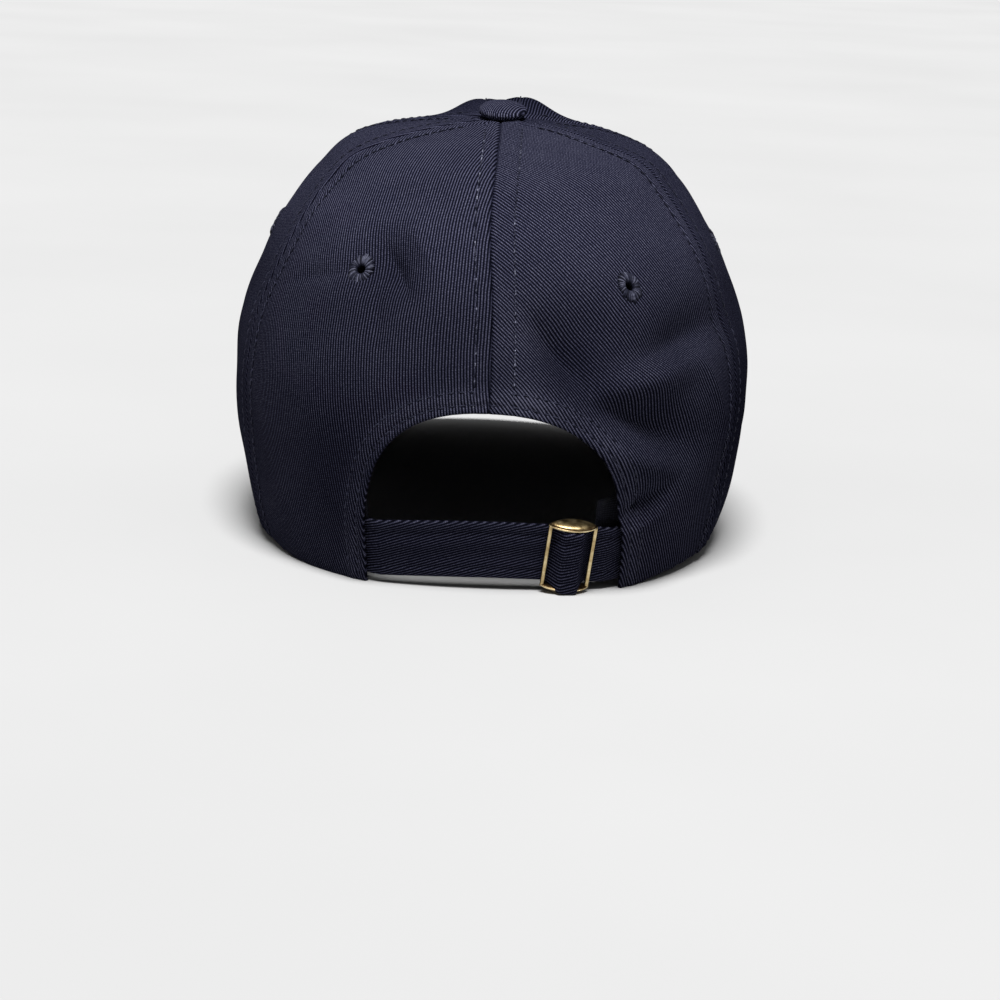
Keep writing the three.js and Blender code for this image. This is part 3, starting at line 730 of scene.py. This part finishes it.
def brass_look():
    look = Look("antique_brass", Metallic=1.0)
    place = look.place()
    stain = look.noise(place, 420, 5.0)
    grain = look.noise(place, 2600, 3.0)
    # The attribute holds rubbed wear and a painted highlight on the faces that look out, with patina in the
    # groove of each end cap.
    wear_and_painted_light = look.attribute("wear_and_painted_light")
    shade = look.math("MULTIPLY_ADD", stain, 0.9, look.math("MULTIPLY_ADD", grain, 0.3, -0.65))
    shade = look.math("ADD", shade, wear_and_painted_light)
    colours = [
        (0.0, (0.02, 0.011, 0.005)),
        (0.35, (0.16, 0.1, 0.045)),
        (0.65, (0.5, 0.38, 0.19)),
        (1.0, (0.86, 0.74, 0.47)),
    ]
    look.link("Base Color", look.ramp(shade, colours))
    look.link("Roughness", look.spread(stain, 0.2, 0.5))
    look.bump(look.math("ADD", grain, stain), 0.06 * MM, 0.5)
    return look.material


def floor_look():
    look = Look("pale_floor", Specular_IOR_Level=0.2)
    place = look.place()
    cloud = look.noise(place, 3.0, 4.0)
    look.link("Base Color", look.ramp(cloud, [(0.3, (0.47, 0.47, 0.47)), (0.7, (0.49, 0.49, 0.49))]))
    look.link("Roughness", look.spread(cloud, 0.7, 0.9))
    return look.material


LOOKS = {
    "twill": twill_look(),
    "thread": thread_look("flecked_thread", (0.27, 0.28, 0.37)),
    "dark_thread": thread_look("dark_thread", (0.03, 0.031, 0.055)),
    "eyelet": eyelet_look(),
    "band": band_look(),
    "brass": brass_look(),
}


# The six panels.


def seam_distance(azimuth, points, seam):
    return np.abs(np.radians(azimuth - seam)) * np.hypot(points[..., 0], points[..., 1])


def pucker(along, across):
    return PUCKER["height"] * np.sin(2 * np.pi * (along + PUCKER["slant"] * across) / PUCKER["pitch"])


def stitch_dent(distance, along, row, depth, width):
    pull = 0.75 + 0.25 * np.cos(2 * np.pi * along / STITCH["pitch"])
    return -depth * bell(distance - row, width) * pull


def seam_row(name, seam):
    return CENTRE_ROWS[name] if seam == 0 else SEAM_ROW


def seam_relief(distance, along, row):
    """How far the cloth stands out beside a seam, by the distance to it and the length along it."""
    fade = smoothstep(distance, row + 1, row - 0.5)
    relief = SEAM["raise"] * fade - SEAM["groove"] * bell(distance, SEAM["groove_width"])
    relief += pucker(along, distance) * fade * smoothstep(distance, 0.5, 2)
    return relief + stitch_dent(distance, along, row, SEAM["dent"], SEAM["dent_width"])


def hem_relief(distance, along):
    fade = smoothstep(distance, HEM["width"] + 0.8, HEM["width"] - 0.6)
    relief = (HEM["raise"] + pucker(along, distance)) * fade
    for row in HEM["rows"]:
        relief += stitch_dent(distance, along, row, HEM["dent"], HEM["dent_width"])
    return relief


def flattened(azimuth, level, middle):
    """Flat coordinates of a panel's cloth: each level line becomes an arc about the top of its own cone."""
    levels = LEVELS[::20]
    line = plain_crown(middle, levels)
    lengths = line_lengths(line)
    lengths = lengths - np.interp(level_of(0), levels, lengths)
    radii = np.hypot(line[:, 0], line[:, 1])
    slopes = -np.gradient(radii, lengths)
    slope = np.interp(level, levels, np.where(np.abs(slopes) < 1e-3, 1e-3, slopes))
    plain = plain_crown(azimuth, level)
    arc_radius = np.hypot(plain[..., 0], plain[..., 1]) / slope
    turn = np.radians(azimuth - middle) * slope
    height = np.interp(level, levels, lengths)
    return np.stack([arc_radius * np.sin(turn), height + arc_radius * (1 - np.cos(turn))], -1)


def flat_area(flat, keep):
    """Area of a grid of flat cloth, without its hole."""
    first, second = flat[1:, 1:] - flat[:-1, :-1], flat[1:, :-1] - flat[:-1, 1:]
    cells = 0.5 * np.abs(first[..., 0] * second[..., 1] - first[..., 1] * second[..., 0])
    return float(cells[keep].sum())


# Painted light and shade of a panel, from the tables of painted places.
def painted_panel_light(name, plain):
    wear_and_painted_light = np.full(plain.shape[:2], PANEL_PAINTED_SHADE.get(name, 0.0))
    for azimuth, rise, size, shade in PAINTED_LIGHT_AND_SHADE_ROWS:
        place = plain_crown(azimuth, level_of(rise))
        wear_and_painted_light += shade * bell(np.linalg.norm(plain - place, axis=-1), size)
    return wear_and_painted_light


def cut_hole(grids, to_eyelet, seat, axis):
    """The cells of a panel's grids that lie outside its eyelet's hole. Points at the edge move onto it."""
    centre = 0.25 * (to_eyelet[:-1, :-1] + to_eyelet[1:, :-1] + to_eyelet[:-1, 1:] + to_eyelet[1:, 1:])
    keep = centre > EYELET["cut"]
    edge = np.zeros(to_eyelet.shape, bool)
    for rows, cells in ((0, 0), (0, 1), (1, 0), (1, 1)):
        edge[rows : rows + keep.shape[0], cells : cells + keep.shape[1]] |= ~keep
    for grid in grids:
        away = grid - seat
        upright = (away @ axis)[..., None] * axis
        aside = away - upright
        size = np.linalg.norm(aside, axis=-1, keepdims=True)
        snapped = seat + upright + aside * EYELET["cut"] / np.maximum(size, 1e-6)
        grid[edge] = snapped[edge]
    return keep


def add_panel(name, start, end):
    """A panel, with the width, length and area of its flat cloth in metres."""
    edge_azimuth, edge_level = lower_edge(start, end)
    across = np.linspace(0, 1, len(edge_azimuth))
    up = (graded(PANEL_LENGTH, end=False) / PANEL_LENGTH)[:, None]
    level = lerp(edge_level, TOP_LEVEL, up)
    seam_share = line_lengths(plain_crown(edge_azimuth, edge_level))
    seam_share = seam_share / seam_share[-1]
    azimuth = lerp(edge_azimuth, lerp(start, end, seam_share), up)
    plain = plain_crown(azimuth, level)
    lap = np.degrees(SEAM["lap"] / 2 / np.hypot(plain[..., 0], plain[..., 1]))
    azimuth = azimuth - lap * (1 - 2 * across)
    flat = flattened(azimuth, level, (start + end) / 2)
    height = flat[..., 1]
    to_seams = [seam_distance(azimuth, plain, seam) for seam in (start, end)]
    azimuth = drifted(azimuth, level)
    plain = plain_crown(azimuth, level)
    out = axes_of(plain_crown, azimuth, level)[2]

    relief = np.zeros(level.shape)
    # Painted light and shade of the panel's places, painted shade in the seam grooves and wear along the hem.
    wear_and_painted_light = painted_panel_light(name, plain)
    for seam, to_seam in zip((start, end), to_seams):
        relief += seam_relief(to_seam, height, seam_row(name, seam))
        # The seam's groove is painted darker, as painted shade.
        wear_and_painted_light -= bell(to_seam, 0.4)
    arch = [plain_crown(*resample(*line, step=0.4)) for line in edge_lines(start, end)]
    to_edge = distance_to(plain, np.concatenate(arch))
    if 0 in (start, end):
        to_arch = distance_to(plain, arch[0] if start == 0 else arch[1])
        relief += hem_relief(to_arch, flat[..., 0] + flat[..., 1])
        wear_and_painted_light += 0.4 * bell(to_arch - 4, 4)

    eyelet_azimuth, eyelet_rise = EYELETS[name]
    eyelet_level = level_of(eyelet_rise)
    seat = plain_crown(eyelet_azimuth, eyelet_level)
    axis = axes_of(plain_crown, eyelet_azimuth, eyelet_level)[2]
    to_eyelet = np.linalg.norm(np.cross(plain - seat, axis), axis=-1)
    to_eyelet = np.where((plain - seat) @ axis > -20, to_eyelet, np.inf)
    relief -= EYELET["dimple"] * bell(to_eyelet, 6.5)

    push = cloth_push(plain) + relief
    drawn = edge_round(to_edge, CLOTH)
    outer = plain + out * (push - drawn)[..., None]
    inner = plain + out * (cloth_push(plain) + 0.5 * relief - CLOTH + drawn)[..., None]

    keep = cut_hole((outer, inner), to_eyelet, seat, axis)
    uv = rib_coordinates(flat, PANEL_RIB_ANGLE + PANEL_RIB_TURN.get(name, 0))
    node = f"panel_{name}"
    piece = make_sheet(f"{node}_cloth", outer, inner, LOOKS["twill"], "cotton_twill", node, uv, wear_and_painted_light, keep)
    width, length = np.ptp(flat.reshape(-1, 2), axis=0) * MM
    return piece, (width, length), flat_area(flat, keep) * MM**2


# Stitches.


def stitch_row(azimuth, level):
    """Points along each stitch of a line on the crown, with the ways out of the cloth."""
    azimuth, level = resample(azimuth, level, step=STITCH["pitch"])
    share = STITCH["length"] / STITCH["pitch"]
    along = np.linspace(0, share, len(STITCH_ARC))
    azimuths = lerp(azimuth[:-1, None], azimuth[1:, None], along)
    levels = lerp(level[:-1, None], level[1:, None], along)
    arc = STITCH["lift"] + np.array(STITCH_ARC)
    out = axes_of(plain_crown, azimuths, levels)[2]
    return crown_point(azimuths, levels) + out * arc[:, None], out


STITCH_RADII = STITCH["radius"] * np.array(STITCH_SHARES)


def moved_line(azimuth, level, distance):
    """A line on the crown moved aside by a distance, to the left of its own direction seen from outside."""
    points = plain_crown(azimuth, level)
    forward = unit(np.gradient(points, axis=0))
    out = axes_of(plain_crown, azimuth, level)[2]
    aside = np.cross(out, forward) * distance
    by_azimuth = plain_crown(azimuth + 0.5, level) - plain_crown(azimuth - 0.5, level)
    by_level = (plain_crown(azimuth, level + 0.05) - plain_crown(azimuth, level - 0.05)) * 10
    grid = np.stack([by_azimuth, by_level], -1)
    normal = np.swapaxes(grid, -1, -2) @ grid
    change = np.linalg.solve(normal, np.swapaxes(grid, -1, -2) @ aside[..., None])[..., 0]
    return azimuth + change[:, 0], level + change[:, 1]


def add_stitches(name, rows, look):
    points = np.concatenate([row[0] for row in rows])
    normals = np.concatenate([row[1] for row in rows])
    return make_piece(f"stitches_{name}", *tube_mesh(points, normals, STITCH_RADII), LOOKS[look], "thread")


def seam_stitches(name, start, end, seam):
    sign = 1 if seam == start else -1
    lines = edge_lines(start, end)
    low = lines[0][1][0] if seam == start else lines[-1][1][-1]
    level = np.linspace(low + 0.05, STITCH_TOP, 300)
    radius = np.linalg.norm(plain_crown(seam, level)[:, :2], axis=1)
    azimuth = seam + sign * np.degrees(seam_row(name, seam) / radius)
    return stitch_row(drifted(azimuth, level), level)


def hem_stitches(start, end):
    line = resample(*edge_lines(start, end)[0 if start == 0 else 1], step=0.8)
    return [stitch_row(*moved_line(*line, distance)) for distance in HEM["rows"]]


def panel_stitches(name, start, end):
    """The stitches of a panel. Those at the centre back are paler."""
    plain = [seam_stitches(name, start, end, seam) for seam in (start, end) if seam != 0]
    if 0 not in (start, end):
        return [add_stitches(name, plain, "dark_thread")]
    plain += hem_stitches(start, end)
    pale = [seam_stitches(name, start, end, 0)]
    return [add_stitches(name, plain, "dark_thread"), add_stitches(f"centre_{name}", pale, "thread")]


# Embroidered eyelets.


def add_eyelet(name, azimuth, rise, seed):
    random = np.random.default_rng(seed)
    level = level_of(rise)
    around, up, out = axes_of(crown_point, azimuth, level)
    origin = crown_point(azimuth, level, EYELET["dimple"])
    count = EYELET["threads"]
    turn = np.linspace(0, 2 * np.pi, count, endpoint=False) + random.normal(0, EYELET_RANDOM["turn"], count)
    reach = EYELET["edge"] + random.normal(0, EYELET_RANDOM["reach"], count)
    share = EYELET_THREAD["share"]
    radius = lerp(EYELET["hole"], reach[:, None], share)
    height = EYELET_THREAD["height"] + random.normal(0, EYELET_RANDOM["height"], (count, 1))
    angle = turn[:, None] + share * EYELET_RANDOM["slant"]
    oval = lerp(1, EYELET["oval"], share)
    paths = np.stack([radius * np.cos(angle), oval * radius * np.sin(angle), height], -1)
    normals = np.zeros_like(paths) + [0, 0, 1.0]
    threads = tube_mesh(paths, normals, EYELET["thread"] * EYELET_THREAD["radius"])
    # A random lightness for each thread, painted darker at the hole and the edge as painted shade; the ring
    # under the threads, which lines the hole, is painted darkest, as shade.
    light = random.uniform(0, 1, (count, 1)) * EYELET_THREAD["light"]
    light = np.repeat(light.ravel(), len(threads[0]) // light.size)
    inner, outer = EYELET["hole"] + 0.2, EYELET["edge"] - 0.5
    core = [(inner, -CLOTH), (outer * 0.5, -CLOTH), (outer, 0.05), (0.75 * outer, 0.55), (inner, 0.3)]
    rings = turned_rings(core, 40)
    index = np.arange(rings.size // 3).reshape(rings.shape[:2])
    ring = rings.reshape(-1, 3), [ring_quads(np.concatenate([index, index[:1]]))]
    points, faces = joined([threads, ring])
    light = np.concatenate([light, np.zeros(rings.size // 3)])
    node = f"eyelet_{name}"
    points = seated(points, origin, (around, up, out))
    return make_piece(f"{node}_thread", points, faces, LOOKS["eyelet"], "thread", node, wear_and_painted_light=light)


for number, panel_name in enumerate(PANEL_NAMES):
    seams = SEAM_AZIMUTHS[number : number + 2]
    panel, cut, cut_area = add_panel(panel_name, *seams)
    sewn = panel_stitches(panel_name, *seams) + [add_eyelet(panel_name, *EYELETS[panel_name], number)]


# The covered button.


def add_button():
    radius, height = BUTTON["radius"], BUTTON["height"]
    base, shank = BUTTON["dome"], BUTTON["shank"]
    arc = np.linspace(0, np.pi / 2, 22)[:-1]
    outline = [(shank, -CLOTH), (shank, 0.8), (4, 0.8)]
    outline += [(radius - 0.9, 0.75), (radius - 0.35, 1.0), (radius - 0.08, 1.45)]
    outline += [(radius * math.cos(a), base + (height - base) * math.sin(a)) for a in arc]
    points, faces = capped_rings(turned_rings(outline, 96), [[0, 0, -CLOTH], [0, 0, height]])
    flat = points[:, :2] * (1 + 0.12 * (points[:, 2:] < base))
    angle = np.arctan2(points[:, 1], points[:, 0])
    edge = smoothstep(np.hypot(points[:, 0], points[:, 1]), BUTTON_GATHER["from"], BUTTON_GATHER["full"])
    gather = BUTTON_GATHER["depth"] * np.sin(BUTTON_GATHER["count"] * angle + 1.3 * np.sin(5 * angle))
    gather = gather * edge * smoothstep(points[:, 2], 3.6, 1.2)
    points = points * (1 + gather[:, None] / radius * [1, 1, 0])
    flat = np.column_stack([flat[:, 0], flat[:, 1] - 0.9 * points[:, 2]])
    tilt = Matrix.Rotation(math.radians(BUTTON["tilt"]), 3, "X")
    top = CROWN["rise"][-1] + cloth_push(plain_crown(0, TOP_LEVEL))
    seat = np.array([0, 0, top + BUTTON["stand"]])
    points = points @ np.array(tilt).T + seat
    uv = rib_coordinates(1.25 * flat, RIB_ANGLE["button"])
    make_piece("button_cover", points, faces, LOOKS["twill"], "cotton_twill", "button", uv, 0.1 * edge)


add_button()


# The peak.


def add_peak():
    columns, rows = 220, 62
    share = np.linspace(0, 1, columns)
    forward = (1 - (1 - np.linspace(0, 1, rows)) ** 1.25)[:, None, None]
    plan = lerp(peak_inner(share), peak_outline(share), forward)
    x, y = plan[..., 0], plan[..., 1]
    outline = np.column_stack([peak_outline(np.linspace(0, 1, 900)), np.zeros(900)])
    to_edge = distance_to(np.stack([x, y, 0 * x], -1), outline)
    row = (to_edge - PEAK_ROWS["first"]) / PEAK_ROWS["pitch"]
    nearest = np.clip(np.round(row), 0, PEAK_ROWS["count"] - 1)
    away = np.abs(row - nearest) * PEAK_ROWS["pitch"]
    relief = PEAK_ROWS["raise"] - PEAK_ROWS["dent"] * bell(away, PEAK_ROWS["dent_width"])
    drawn = edge_round(to_edge, PEAK["thickness"])
    top = peak_top(x, y)
    outer = np.stack([x, y, top + relief - drawn], -1)
    inner = np.stack([x, y, top - PEAK["thickness"] - relief + drawn], -1)
    wrapped = plan + unit(plan) * drawn[..., None]
    uv = rib_coordinates(wrapped, RIB_ANGLE["peak"])
    wear_and_painted_light = bell(to_edge, 2.5)
    make_sheet("peak_cover", outer, inner, LOOKS["twill"], "cotton_twill", "peak", uv, wear_and_painted_light, flip=True)


def add_peak_stitches():
    paths, normals = [], []
    plan = peak_outline(np.linspace(0, 1, 1200))
    inward = np.gradient(plan, axis=0)
    inward = unit(np.column_stack([inward[:, 1], -inward[:, 0]]))
    for number in range(PEAK_ROWS["count"]):
        line = plan + inward * (PEAK_ROWS["first"] + number * PEAK_ROWS["pitch"])
        azimuth = np.degrees(np.arctan2(line[:, 0], -line[:, 1]))
        rim = crown_point(azimuth, level_of(rim_rise(azimuth)), -1.5)
        line = line[np.hypot(line[:, 0], line[:, 1]) > np.hypot(rim[:, 0], rim[:, 1])]
        lengths = line_lengths(line)
        starts = np.arange(0, lengths[-1] - STITCH["pitch"], STITCH["pitch"])
        places = starts[:, None] + np.linspace(0, STITCH["length"], len(PEAK_STITCH_ARC))
        x, y = (np.interp(places, lengths, line[:, k]) for k in (0, 1))
        arc = np.array(PEAK_STITCH_ARC)
        paths.append(np.stack([x, y, peak_top(x, y) + arc], -1))
        paths.append(np.stack([x, y, peak_top(x, y) - PEAK["thickness"] - arc], -1))
        normals += [np.zeros((*x.shape, 3)) + [0, 0, side] for side in (1.0, -1.0)]
    mesh = tube_mesh(np.concatenate(paths), np.concatenate(normals), STITCH_RADII)
    make_piece("stitches_peak", *mesh, LOOKS["dark_thread"], "thread")


add_peak()
add_peak_stitches()


# The inner band.


def pocket_depth(azimuth):
    signed = np.where(azimuth > 180, azimuth - 360, azimuth)
    depth = np.zeros_like(signed)
    for start, full, end, deep in BAND_POCKETS:
        fade = 1 - smoothstep(np.abs(signed), abs(full), abs(end))
        depth += np.where(np.sign(signed) == np.sign(start), deep * fade, 0)
    return depth


def add_band():
    columns, rows = 420, 30
    azimuth = np.linspace(BAND["from"], BAND["to"], columns)
    up = np.linspace(0, 1, rows)[:, None]
    level = level_of(rim_rise(azimuth) + lerp(BAND["lift"], BAND["height"], up))
    azimuth = azimuth + 0 * up
    plain = plain_crown(azimuth, level)
    height = (BAND["height"] - BAND["lift"]) * up
    lengths = line_lengths(plain[rows // 2])
    to_end = np.minimum(lengths, lengths[-1] - lengths)
    to_edge = np.minimum(np.minimum(height, height[-1] - height), to_end)
    drawn = edge_round(to_edge, BAND["thickness"])
    depth = CLOTH + BAND["gap"] + pocket_depth(azimuth)
    outer = crown_point(azimuth, level, depth + drawn)
    inner = crown_point(azimuth, level, depth + BAND["thickness"] - drawn)
    flat = np.stack(np.broadcast_arrays(lengths, height), -1)
    piece = make_sheet("sweatband_cloth", outer, inner, LOOKS["band"], "band_cloth", "sweatband", flat)
    return piece, (lengths[-1] * MM, (BAND["height"] - BAND["lift"]) * MM)


# The strap, the buckle and its tab.


def flat_strap(azimuth, up):
    """The strap's middle layer before it rises over the buckle's middle bar. `up` runs from -0.5 to 0.5."""
    pull = np.maximum(1 - ((azimuth - STRAP_PULL["middle"]) / STRAP_PULL["span"]) ** 2, 0)
    depth = CLOTH + STRAP["gap"] + STRAP["thickness"] / 2 + STRAP_PULL["inset"] * pull
    middle = STRAP["bottom"] + STRAP["width"] / 2
    level = level_of(middle + STRAP["width"] * up * (1 - STRAP_PULL["upright"] * pull))
    out = axes_of(plain_crown, azimuth, level)[2]
    points = plain_crown(azimuth, level) - out * np.asarray(depth)[..., None]
    points[..., 2] = middle + STRAP["width"] * up + STRAP_PULL["bow"] * pull
    return points


BUCKLE_AXES = axes_of(flat_strap, BUCKLE["azimuth"], 0.0)
BUCKLE_FOOT = flat_strap(np.float64(BUCKLE["azimuth"]), 0.0)
BUCKLE_SEAT = BUCKLE_FOOT + BUCKLE["stand"] * BUCKLE_AXES[2]
FOLDED_EDGE = {"width": 3.1, "raise": 0.28, "groove": 0.22, "ridge": 0.25}


def add_strap():
    columns, rows = 260, 44
    azimuth = np.linspace(STRAP["from"], STRAP["to"], columns)
    up = (0.5 * np.sin(np.linspace(-np.pi / 2, np.pi / 2, rows)))[:, None]
    azimuth, up = np.broadcast_arrays(azimuth, up)
    flat = flat_strap(azimuth, up)
    out = axes_of(flat_strap, azimuth, up)[2]
    away = ((flat - BUCKLE_FOOT) @ BUCKLE_AXES[0]) / STRAP_RISE["half"]
    slope = np.clip((np.abs(away) - STRAP_RISE["level"]) / (1 - STRAP_RISE["level"]), 0, 1)
    rise = STRAP_RISE["height"] * np.cos(slope * np.pi / 2) ** 2
    hang = STRAP_RISE["droop"] * np.sqrt(np.maximum(1 - away**2, 0))
    lengths = line_lengths(flat[rows // 2])
    from_edge = (0.5 - np.abs(up)) * STRAP["width"]
    to_end = np.minimum(lengths, lengths[-1] - lengths)
    drawn = edge_round(np.minimum(from_edge, to_end), STRAP["thickness"])
    fold = FOLDED_EDGE["width"]
    relief = FOLDED_EDGE["raise"] * smoothstep(from_edge, fold + 0.5, fold - 0.5)
    relief = relief - FOLDED_EDGE["groove"] * bell(from_edge - fold - 0.5, 0.6)
    ridges = FOLDED_EDGE["ridge"] * np.sin(13 * up + 0.6 * np.sin(lengths / 17))
    relief = relief + ridges * smoothstep(from_edge, 2.5, 5)
    half = STRAP["thickness"] / 2
    flat[..., 2] -= hang * (0.5 - up)
    outer = flat + out * (rise + half - 0.2 + relief - drawn)[..., None]
    inner = flat + out * (rise - half + drawn)[..., None]
    cloth = np.stack(np.broadcast_arrays(lengths, up * STRAP["width"]), -1)
    uv = rib_coordinates(1.12 * cloth, RIB_ANGLE["strap"])
    wear_and_painted_light = 0.3 * bell(from_edge, 1.2) - 0.15
    piece = make_sheet("strap_cloth", outer, inner, LOOKS["twill"], "cotton_twill", "strap", uv, wear_and_painted_light)
    return piece, (lengths[-1] * MM, STRAP["width"] * MM)


def cap_mesh(up):
    """An end cap of the buckle, with its wear and painted highlight: a rim with a lens-shaped outline, and a
    low dome on it. The rim's face and the dome's top are lighter, partly as rubbed brass and partly as a
    painted highlight; the groove between rim and dome is darker, as patina.
    """
    count, steps = 96, 20
    turn = np.linspace(0, 2 * np.pi, count, endpoint=False)
    deep = BUCKLE_CAP["depth"] * np.sin(turn) * np.abs(np.sin(turn)) ** 0.5
    lens = np.stack([BUCKLE["half"] * np.cos(turn), deep], -1)
    base, rim, dome = BUCKLE["window"] / 2, BUCKLE_CAP["rim"], BUCKLE_CAP["dome"]
    outline = [(0.97, 0.0, 0.25), (1.0, 0.12, 0.8), (1.0, rim - 0.12, 0.95)]
    outline += [(0.965, rim, 0.2), (0.93, rim + 0.02, 0.0)]
    for arc in np.linspace(0, np.pi / 2, steps)[1:-1]:
        high = math.sin(arc)
        outline.append((0.93 * math.cos(arc) ** 0.9, rim + 0.05 + dome * high, 0.35 + 0.4 * high))
    scale, height, wear_and_painted_light = np.array(outline).T[..., None]
    rings = np.stack(np.broadcast_arrays(lens[:, 0] * scale, up * (base + height), lens[:, 1] * scale), -1)
    ends = [[0, up * base, 0], [0, up * (base + rim + 0.05 + dome), 0]]
    points, faces = capped_rings(rings, ends)
    wear_and_painted_light = np.concatenate([np.repeat(wear_and_painted_light, count), [0.2, 0.75]])
    return points, [f[:, ::-1] if up > 0 else f for f in faces], wear_and_painted_light


def bar_mesh(x, width, depth, length):
    """An upright bar with rounded corners, with its wear and painted highlight: the outward face is lighter,
    partly as rubbed brass and partly as a painted highlight, and the sides and back are painted darker.
    """
    count, steps = 24, 40
    turn = np.linspace(0, 2 * np.pi, count, endpoint=False)
    across, deep = (np.sign(wave) * np.abs(wave) ** 0.55 for wave in (np.cos(turn), np.sin(turn)))
    height = np.linspace(-length / 2, length / 2, steps)[:, None]
    points = np.stack(np.broadcast_arrays(x + 0.5 * width * across, height, 0.5 * depth * deep), -1)
    index = np.arange(steps * count).reshape(steps, count)
    wear_and_painted_light = np.tile(0.05 + 0.68 * smoothstep(0.5 * deep, 0.1, 0.48), steps)
    return points.reshape(-1, 3), [ring_quads(index)[:, ::-1], index[:1], index[-1:, ::-1]], wear_and_painted_light


def add_buckle():
    length = BUCKLE["window"] + BUCKLE_CAP["rim"]
    side = BUCKLE["half"] - BUCKLE["bar"] / 2 - 0.1
    parts = [cap_mesh(1), cap_mesh(-1)]
    parts += [bar_mesh(x, BUCKLE["bar"], BUCKLE["depth"], length) for x in (-side, side)]
    parts.append(bar_mesh(0, 2 * BUCKLE["middle"], 2 * BUCKLE["middle"], length))
    points, faces = joined([part[:2] for part in parts])
    wear_and_painted_light = np.concatenate([part[2] for part in parts])
    points = seated(points, BUCKLE_SEAT, BUCKLE_AXES)
    brass = LOOKS["brass"], "antique_brass"
    make_piece("buckle_metal", points, faces, *brass, "buckle", wear_and_painted_light=wear_and_painted_light, soft=False)


def add_tab():
    """The loop round the middle bar, whose tail follows the strap's inner face under the right panel."""
    tail = []
    for azimuth in np.linspace(*TAB["tail"], 24):
        away = np.stack(BUCKLE_AXES) @ (flat_strap(np.float64(azimuth), 0.0) - BUCKLE_SEAT)
        tail.append((away[0], away[2] - STRAP["thickness"] / 2 - TAB["gap"] - TAB["thickness"] / 2))
    tail = np.array(tail)
    half = TAB["thickness"] / 2
    hole, loop = BUCKLE["middle"] + GAP, TAB["loop"]
    middle = (hole + loop) / 2
    arc = np.linspace(1.5 * np.pi, 0.5 * np.pi, 24)
    bend = np.column_stack([middle * np.cos(arc), middle * np.sin(arc)])
    upper = np.column_stack([tail[:, 0], tail[:, 1] + 0.46 * half])
    lower = np.column_stack([tail[:, 0], tail[:, 1] - 0.46 * half])
    line = np.concatenate([lower[::-1], bend, upper])
    lengths = line_lengths(line)
    steps = np.linspace(0, lengths[-1], 120)
    line = np.column_stack([np.interp(steps, lengths, line[:, k]) for k in (0, 1)])
    for _ in range(3):
        line[1:-1] = (line[:-2] + 2 * line[1:-1] + line[2:]) / 4
    normal = unit(np.gradient(line, axis=0))[:, ::-1] * [-1, 1]
    rows = 24
    up = (0.5 * TAB["height"] * np.sin(np.linspace(-np.pi / 2, np.pi / 2, rows)))[:, None]
    to_edge = np.minimum(0.5 * TAB["height"] - np.abs(up), np.minimum(steps, steps[-1] - steps))
    cloth = 0.85 * half
    drawn = edge_round(to_edge, cloth)

    def layer(offset):
        x = line[:, 0] + normal[:, 0] * offset
        z = line[:, 1] + normal[:, 1] * offset
        return seated(np.stack(np.broadcast_arrays(x, up, z), -1), BUCKLE_SEAT, BUCKLE_AXES)

    faces = layer(cloth / 2 - drawn), layer(drawn - cloth / 2)
    uv = rib_coordinates(np.stack(np.broadcast_arrays(steps, up), -1), RIB_ANGLE["strap"])
    wear_and_painted_light = np.zeros(uv.shape[:2])
    piece = make_sheet("buckle_tab_cloth", *faces, LOOKS["twill"], "cotton_twill", "buckle_tab", uv, wear_and_painted_light)
    return piece, (steps[-1] * MM, TAB["height"] * MM)


add_buckle()
for held, (piece, cut) in (("stretched", add_band()), ("stretched", add_strap()), ("folded", add_tab())):
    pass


# Stage, light and camera.


def add_floor():
    size = 6.0
    corners = [(-size, -size, 0), (size, -size, 0), (size, size, 0), (-size, size, 0)]
    mesh = bpy.data.meshes.new("floor")
    mesh.from_pydata(corners, [], [(0, 1, 2, 3)])
    mesh.materials.append(floor_look())
    floor = bpy.data.objects.new("floor", mesh)
    bpy.context.scene.collection.objects.link(floor)


# A soft light from far off, overhead and a little towards the view, and the light of the room.
LIGHT = {"direction": (0.0, -0.38, 1.0), "spread": 24, "strength": 5.4, "room": 0.2}


def add_lights():
    light = bpy.data.lights.new("light_key", "SUN")
    light.angle = math.radians(LIGHT["spread"])
    light.energy = LIGHT["strength"]
    lamp = bpy.data.objects.new("light_key", light)
    lamp.rotation_euler = Vector(LIGHT["direction"]).to_track_quat("Z", "Y").to_euler()
    bpy.context.scene.collection.objects.link(lamp)
    world = bpy.data.worlds.new("studio")
    world.use_nodes = True
    world.node_tree.nodes["Background"].inputs["Color"].default_value = (1, 1, 1, 1)
    world.node_tree.nodes["Background"].inputs["Strength"].default_value = LIGHT["room"]
    bpy.context.scene.world = world
    bpy.context.scene.view_settings.view_transform = "Standard"


def add_camera():
    rise = math.radians(VIEW["rise"])
    back = Vector((0, -math.cos(rise), math.sin(rise)))
    place = Vector(VIEW["aim"]) + back * VIEW["distance"]
    right = math.atan((VIEW["pixel"][0] - IMAGE / 2) / VIEW["focal"])
    down = math.atan((IMAGE / 2 - VIEW["pixel"][1]) / VIEW["focal"])
    look = (-back).to_track_quat("-Z", "Y").to_matrix()
    look = look @ Matrix.Rotation(math.radians(VIEW["roll"]), 3, "Z")
    look = look @ Matrix.Rotation(-down, 3, "X") @ Matrix.Rotation(right, 3, "Y")
    lens = bpy.data.cameras.new("camera")
    lens.sensor_width = SENSOR
    lens.lens = VIEW["focal"] / IMAGE * SENSOR
    camera = bpy.data.objects.new("camera", lens)
    camera.matrix_world = Matrix.Translation((TURN @ place + PLACE) * MM) @ (TURN @ look).to_4x4()
    bpy.context.scene.collection.objects.link(camera)
    bpy.context.scene.camera = camera


add_floor()
add_lights()
add_camera()
